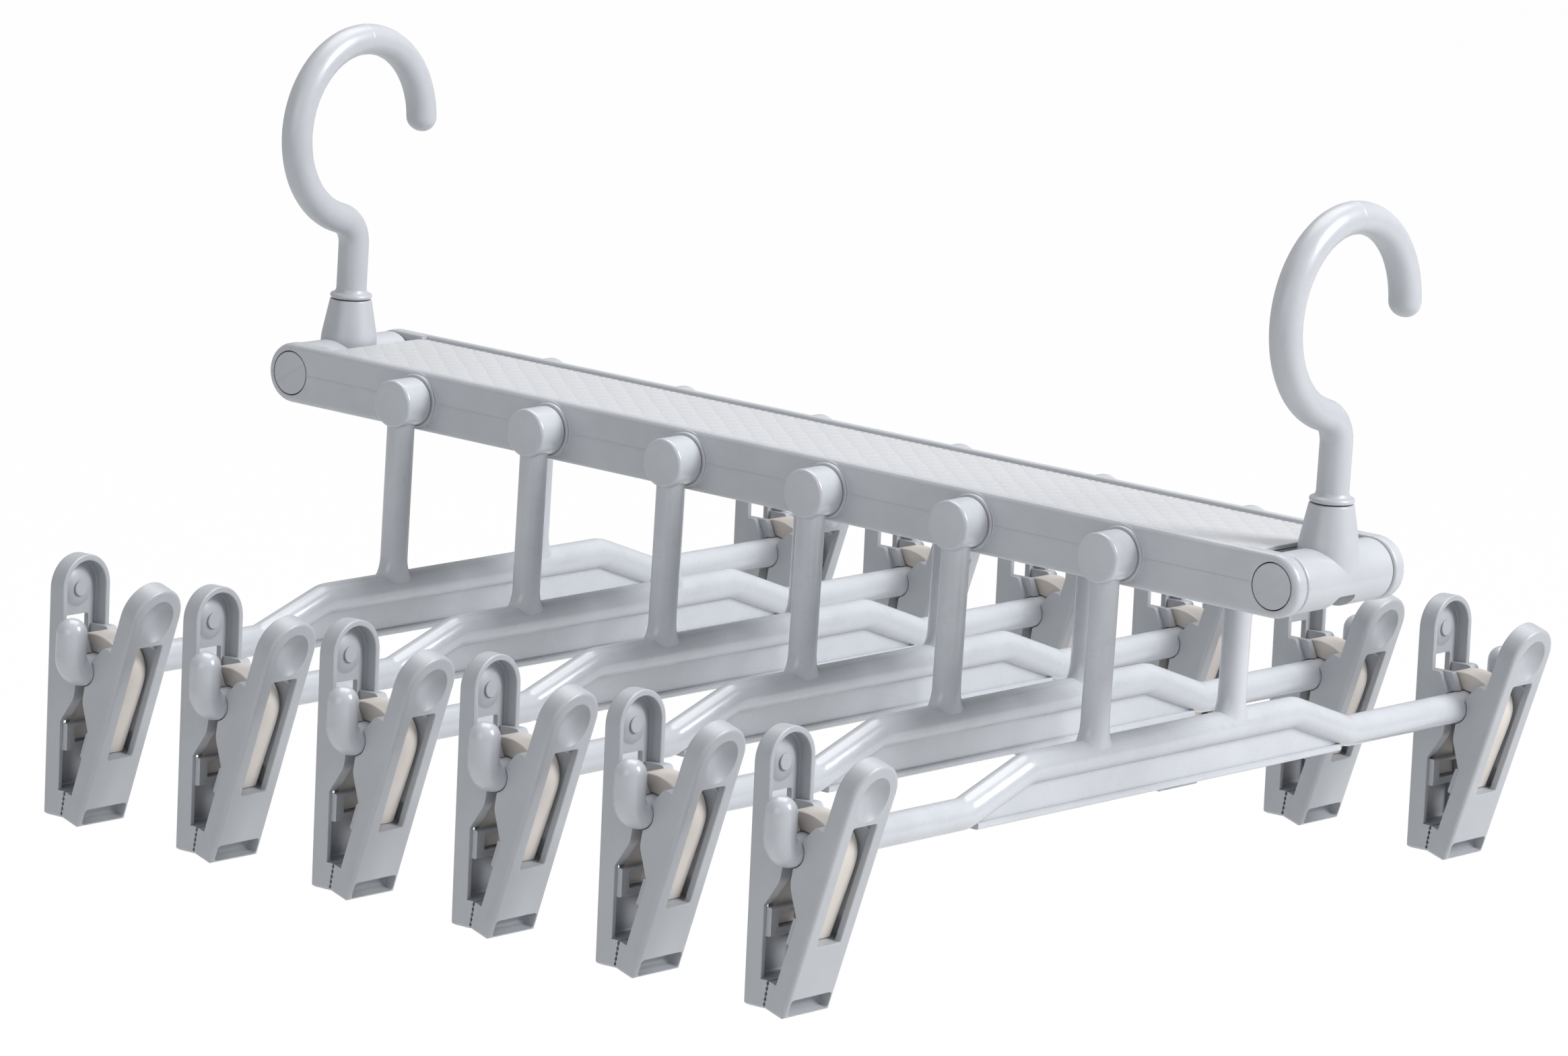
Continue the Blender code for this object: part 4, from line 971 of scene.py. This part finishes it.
def build_jaw():
    """One clip jaw, upright, with the rod's axis through its origin and its face to +X."""
    mouth = edge_round(JAW_RIM_EDGE, JAW_RIM, steps=3)
    face = edge_round(JAW_FACE_EDGE, JAW_FACE, -1, steps=5)[::-1]
    jaw = new_piece("jaw_master", add_stack, "X",
                    [(x, jaw_outline(JAW_HALF_WIDTH, -JAW_TIP, SIDE_CORNER_RADIUS, -inset))
                     for x, inset in mouth + face])
    inside = JAW_FACE - JAW_BACK
    buried = JAW_FACE - JAW_BACK / 2
    beyond = JAW_FACE + JAW_DEPTH
    inner_half = JAW_HALF_WIDTH - JAW_WALL
    pad_top = TIP_PAD_LENGTH - JAW_TIP
    rim = DIMPLE_DIAMETER / 2
    shelf = WINDOW_BOTTOM + SHELF_THICKNESS
    lip_outside = SPRING_ARM_OFFSET - SPRING_ARM_THICKNESS / 2
    cheek_inside = JAW_HALF_WIDTH - CHEEK_THICKNESS

    def tray(bm):
        floor = [(x, -inset) for x, inset in edge_round(TRAY_FLOOR_EDGE, inside, -1, steps=3)]
        add_stack(bm, "X", [(x, jaw_outline(inner_half, pad_top, TRAY_CORNER, grow))
                            for x, grow in [(JAW_RIM - GAP, JAW_RIM_EDGE)] + mouth + floor[::-1]])

    def bump(bm):
        radius = rim - BUMP_INSET
        profile = [(buried, radius)] + dish(BUMP_DEPTH, radius, inside)
        add_turning(bm, profile, "X", BUMP_SIDES, (0, 0, DIMPLE_CENTRE))

    def sill_and_lip(bm):
        outside = lip_outside - GAP
        near = outside - LIP_THICKNESS
        lip_top = shelf + LIP_HEIGHT
        outline = [(near, WINDOW_BOTTOM + LIP_CHAMFER), (near + LIP_CHAMFER, WINDOW_BOTTOM),
                   (buried, WINDOW_BOTTOM), (buried, shelf), (outside, shelf), (outside, lip_top),
                   (near + LIP_CHAMFER, lip_top), (near, lip_top - LIP_CHAMFER)]
        half = inner_half + JAW_WALL / 4
        add_prism(bm, outline, "Y", -half, half)

    def cheeks(bm):
        for side in (-1, 1):
            ends = sorted((side * cheek_inside, side * (JAW_HALF_WIDTH - CHEEK_INSET)))
            add_prism(bm, cheek_outline(), "Y", *ends)

    def tongue(bm):
        add_prism(bm, tongue_outline(), "Y", cheek_inside, cheek_inside + TONGUE_THICKNESS)

    def window(bm):
        low, high = (-WINDOW_WIDTH / 2, shelf), (WINDOW_WIDTH / 2, WINDOW_TOP)
        edge = edge_round(WINDOW_EDGE, JAW_FACE, -1, steps=3)[::-1]
        add_stack(bm, "X", [(x, rounded_rectangle(low, high, WINDOW_CORNER, grow))
                            for x, grow in [(inside - GAP, 0)] + edge + [(beyond, WINDOW_EDGE)]])

    def lip_slot(bm):
        half = LIP_SLOT_WIDTH / 2
        outline = rounded_rectangle((-half, shelf), (half, shelf + LIP_SLOT_HEIGHT), LIP_SLOT_CORNER)
        add_prism(bm, outline, "X", JAW_RIM - LIP_SLOT_REACH, lip_outside)

    def dimple(bm):
        edge = [(JAW_FACE + rise, rim + spread) for rise, spread in DIMPLE_EDGE]
        bowl = dish(DIMPLE_DEPTH - DIMPLE_EDGE_DEPTH, rim, JAW_FACE - DIMPLE_EDGE_DEPTH)
        add_turning(bm, edge + bowl, "X", DIMPLE_SIDES, (0, 0, DIMPLE_CENTRE))
        bmesh.ops.scale(bm, verts=bm.verts, vec=(1, DIMPLE_SQUEEZE, 1))

    def ejector_mark(bm):
        radius = EJECTOR_MARK_DIAMETER / 2
        top = inside - BUMP_DEPTH - EJECTOR_MARK_RISE
        profile = [(top, radius - EJECTOR_MARK_EDGE), (top + EJECTOR_MARK_EDGE, radius),
                   (top + 2 * EJECTOR_MARK_RISE, radius)]
        add_turning(bm, profile, "X", TUBE_SIDES, (0, 0, DIMPLE_CENTRE))

    def foot_pocket(bm):
        half = JAW_HALF_WIDTH - FOOT_POCKET_WALL
        foot = FOOT_LIP - JAW_TIP
        top = foot + FOOT_POCKET_HEIGHT
        stations = [(beyond, 0, FOOT_POCKET_EDGE)]
        stations += [(x, 0, inset) for x, inset in edge_round(FOOT_POCKET_EDGE, JAW_FACE, -1, steps=2)]
        for a in steps_to(pi / 2, 6)[1:]:
            sunk = FOOT_POCKET_STRAIGHT + (1 - FOOT_POCKET_STRAIGHT) * sin(a)
            rise = FOOT_POCKET_HEIGHT * FOOT_POCKET_SLOPE * (1 - cos(a))
            stations.append((JAW_FACE - FOOT_POCKET_DEPTH * sunk, rise, 0))
        add_stack(bm, "X", [(x, rounded_rectangle((-half, foot + rise), (half, top),
                                                  FOOT_POCKET_CORNER, grow)) for x, rise, grow in stations])

    def pad(bm):
        half = JAW_HALF_WIDTH - TIP_PAD_INSET
        add_prism(bm, pad_outline(pad_top), "Y", -half, half)

    def foot_corner(bm):
        radius = FOOT_CORNER_RADIUS
        middle = (JAW_FACE - radius, radius - JAW_TIP)
        low = -JAW_TIP - GAP
        curve = [(middle[0] + radius * cos(a), middle[1] - radius * sin(a)) for a in steps_to(pi / 2, 6)]
        add_prism(bm, [(beyond, low), (beyond, middle[1])] + curve + [(middle[0], low)], "Y",
                  -JAW_WIDTH, JAW_WIDTH)

    def tip_corners(bm):
        outline = jaw_outline(JAW_HALF_WIDTH, -JAW_TIP, TIP_SIDE_RADIUS, TIP_SIDE_SLACK)
        add_prism(bm, outline, "X", -JAW_DEPTH, beyond)

    return combine(jaw, [("DIFFERENCE", tray), ("UNION", bump), ("UNION", sill_and_lip), ("UNION", cheeks),
                         ("UNION", tongue), ("DIFFERENCE", window), ("DIFFERENCE", lip_slot),
                         ("UNION", ejector_mark), ("DIFFERENCE", dimple), ("DIFFERENCE", foot_pocket),
                         ("UNION", pad), ("DIFFERENCE", foot_corner), ("INTERSECT", tip_corners)])


def spring_line():
    """Centre line and thickness of the whole C spring, from the left arm's end to the right's."""
    half = []
    for a in steps_to(pi / 2, 16):
        share = sin(a) ** 2
        half.append(((SPRING_ARM_OFFSET + SPRING_BOW) * sin(a) ** SPRING_SQUARENESS,
                     SPRING_CROWN_RISE * cos(a) ** SPRING_SQUARENESS,
                     SPRING_CROWN_THICKNESS * (1 - share) + SPRING_ARM_THICKNESS * share))
    arm_end = WINDOW_BOTTOM + SHELF_THICKNESS + GAP
    half += [(SPRING_ARM_OFFSET + SPRING_BOW * (1 - share), arm_end * share, SPRING_ARM_THICKNESS)
             for share in steps_to(1, 10)[1:]]
    tilt = Matrix.Rotation(-JAW_TILT, 2)
    line = []
    for x, z, thickness in half:
        point = Vector((x, z))
        line.append((point.lerp(tilt @ point, min(1, x / SPRING_ARM_OFFSET)), thickness))
    line = [(Vector((-point.x, point.y)), size) for point, size in line[:0:-1]] + line
    for _ in range(SPRING_SMOOTHINGS):
        inner = [(before[0] * 0.25 + here[0] * 0.5 + after[0] * 0.25, here[1])
                 for before, here, after in zip(line, line[1:], line[2:])]
        line = line[:1] + inner + line[-1:]
    return line


def build_spring():
    """The C spring: a strap with soft edges, thick over the rod and thin down both arms."""
    line = spring_line()
    loops = []
    for (before, _), (point, thickness), (after, _) in zip(line[:1] + line, line, line[1:] + line[-1:]):
        ahead = (after - before).normalized()
        high = (thickness / 2, SPRING_WIDTH / 2)
        section = rounded_rectangle((-high[0], -high[1]), high, SPRING_EDGE)
        loops.append([(point.x - ahead.y * u, v, point.y + ahead.x * u) for u, v in section])
    return new_piece("spring_master", add_loft, loops)


# Everything in its place

def dress_clip(clip, jaw, spring):
    """Both jaws and the spring of one clip. The spring's strap is baked in place, on neither jaw's body."""
    centre = Vector(JOINTS[f"{clip}_open"]["pos_m"])
    lean = Matrix.Translation(centre) @ Matrix.Rotation(CLIP_LEAN, 4, "Y")
    right = lean @ Matrix.Rotation(JAW_TILT, 4, "Y")
    left = lean @ Matrix.Rotation(-JAW_TILT, 4, "Y") @ Matrix.Rotation(pi, 4, "Z")
    dress(copy_of(jaw, f"{clip}_left_moulding", left), clip, f"{clip}_left_jaw")
    dress(copy_of(jaw, f"{clip}_right_moulding", right), f"{clip}_lever", f"{clip}_right_jaw")
    strap = copy_of(spring, f"{clip}_spring_strap", lean)
    strap.data = spring.data.copy()
    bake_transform(strap)
    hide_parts(f"{clip}_spring")


def dress_all():
    """Builds each kind of piece once, and puts a copy in every place that it has."""
    axis = Matrix.Translation((0, 0, AXIS_Z))
    beam = finished(build_beam(), SATIN_GREY)
    beam.matrix_world = axis
    dress(beam, "beam", "beam")
    panel = finished(build_panel(), PALE_SHEET)
    panel.matrix_world = axis
    dress(panel, "beam", "inlay_panel")

    socket = finished(build_socket(), SATIN_GREY, SOCKET_SHARP_ANGLE)
    hook = finished(build_hook(), SATIN_GREY)
    for side, name in ((-1, "left"), (1, "right")):
        place = Matrix.Translation((side * SOCKET_X, 0, AXIS_Z))
        dress(copy_of(socket, f"{name}_socket_moulding", place), f"{name}_socket",
              f"hook_socket_{name}")
        dress(copy_of(hook, f"{name}_hook_moulding", place), f"{name}_hook", f"hook_{name}")

    hanger = finished(build_hanger(), PEARL_GREY)
    jaw = finished(build_jaw(), MATT_GREY)
    spring = finished(build_spring(), CREAM)
    for number in range(1, len(PIVOTS) + 1):
        place = Matrix.Translation(JOINTS[f"frame_{number}_swing"]["pos_m"])
        dress(copy_of(hanger, f"hanger_{number}_moulding", place), f"frame_{number}", f"hanger_{number}")
        for end in ("near", "far"):
            dress_clip(f"{end}_clip_{number}", jaw, spring)
    for master in (socket, hook, hanger, jaw, spring):
        bpy.data.objects.remove(master, do_unlink=True)


dress_all()


# Stage

CAMERA_YAW = radians(39.341)
CAMERA_PITCH = radians(11.048)
CAMERA_ROLL = radians(3.619)
CAMERA_DISTANCE = 2.1873
CAMERA_SHIFT_RIGHT = -0.0078
CAMERA_SHIFT_UP = -0.01709
PHOTO_WIDTH = 2329
FOCAL_PIXELS = 11893
SENSOR_WIDTH = 36.0
CLIP_NEAR = 0.05
CLIP_FAR = 50
SURROUND_LIGHT = 0.45
FLOOR_DROP = 0.25
FLOOR_REACH = 12.0
FLOOR_COLOUR = (0.7, 0.7, 0.7, 1)
FLOOR_ROUGHNESS = 0.9
FLOOR_WHITENESS = 0.98
LIGHT_TARGET = Vector((0, 0, -0.05))

# Each light's name, place and size in metres, and power in watts
LIGHTS = (("key", (2.15, 0.9, 1.55), (1.0, 1.3), 85),
          ("top", (-0.4, 0.6, 1.9), (1.7, 1.7), 29),
          ("fill", (0.3, -2.4, 0.5), (1.6, 1.6), 12))


def place_camera():
    """The camera of the photograph, placed from the middle of the beam's pivot line."""
    ahead = Vector((-sin(CAMERA_YAW) * cos(CAMERA_PITCH), cos(CAMERA_YAW) * cos(CAMERA_PITCH),
                    -sin(CAMERA_PITCH)))
    level_right = Vector((cos(CAMERA_YAW), sin(CAMERA_YAW), 0))
    level_up = level_right.cross(ahead)
    right = level_right * cos(CAMERA_ROLL) + level_up * sin(CAMERA_ROLL)
    up = level_up * cos(CAMERA_ROLL) - level_right * sin(CAMERA_ROLL)
    middle = Vector((0, 0, AXIS_Z))
    eye = middle - ahead * CAMERA_DISTANCE + right * CAMERA_SHIFT_RIGHT + up * CAMERA_SHIFT_UP
    camera = bpy.data.cameras.new("camera")
    camera.sensor_width = SENSOR_WIDTH
    camera.lens = SENSOR_WIDTH * FOCAL_PIXELS / PHOTO_WIDTH
    camera.clip_start = CLIP_NEAR
    camera.clip_end = CLIP_FAR
    item = new_object("camera", camera)
    turn = Matrix((right, up, -ahead)).transposed()
    item.matrix_world = Matrix.Translation(eye) @ turn.to_4x4()
    bpy.context.scene.camera = item


def add_area_light(name, place, size, power):
    """A rectangular light, aimed at the hanger."""
    light = bpy.data.lights.new(name, "AREA")
    light.shape = "RECTANGLE"
    light.size, light.size_y = size
    light.energy = power
    item = new_object(name, light)
    item.location = place
    item.rotation_euler = (LIGHT_TARGET - Vector(place)).to_track_quat("-Z", "Y").to_euler()


def light_world():
    """A soft white surround: white where the camera sees it, dimmer where it lights."""
    world = bpy.data.worlds.new("studio")
    world.use_nodes = True
    tree = world.node_tree
    background = tree.nodes["Background"]
    background.inputs["Color"].default_value = (1, 1, 1, 1)
    path = tree.nodes.new("ShaderNodeLightPath")
    strength = tree.nodes.new("ShaderNodeMapRange")
    strength.inputs["To Min"].default_value = SURROUND_LIGHT
    strength.inputs["To Max"].default_value = 1.0
    tree.links.new(path.outputs["Is Camera Ray"], strength.inputs["Value"])
    tree.links.new(strength.outputs["Result"], background.inputs["Strength"])
    bpy.context.scene.world = world


def lay_floor():
    """A pale floor below the hanger, which fades to white for the camera."""
    low = CAD_BOX[0][2] - FLOOR_DROP

    def sheet(bm):
        bm.faces.new([bm.verts.new((x * FLOOR_REACH, y * FLOOR_REACH, low))
                      for x, y in ((-1, -1), (1, -1), (1, 1), (-1, 1))])

    floor = new_piece("studio_floor", sheet)
    nodes = Nodes("studio_floor_white")
    nodes.shader.inputs["Base Color"].default_value = FLOOR_COLOUR
    nodes.shader.inputs["Roughness"].default_value = FLOOR_ROUGHNESS
    glow = nodes.node("ShaderNodeEmission", {"Color": (1, 1, 1, 1), "Strength": 1.0})
    path = nodes.node("ShaderNodeLightPath", {})
    share = nodes.maths("MULTIPLY", path.outputs["Is Camera Ray"], FLOOR_WHITENESS)
    shaders = {0: share, 1: nodes.shader.outputs["BSDF"], 2: glow.outputs["Emission"]}
    blend = nodes.node("ShaderNodeMixShader", shaders)
    output = nodes.tree.nodes["Material Output"]
    nodes.tree.links.new(blend.outputs["Shader"], output.inputs["Surface"])
    floor.data.materials.append(nodes.material)


lay_floor()
light_world()
for light in LIGHTS:
    add_area_light(*light)
place_camera()
bpy.context.scene.view_settings.view_transform = "Standard"
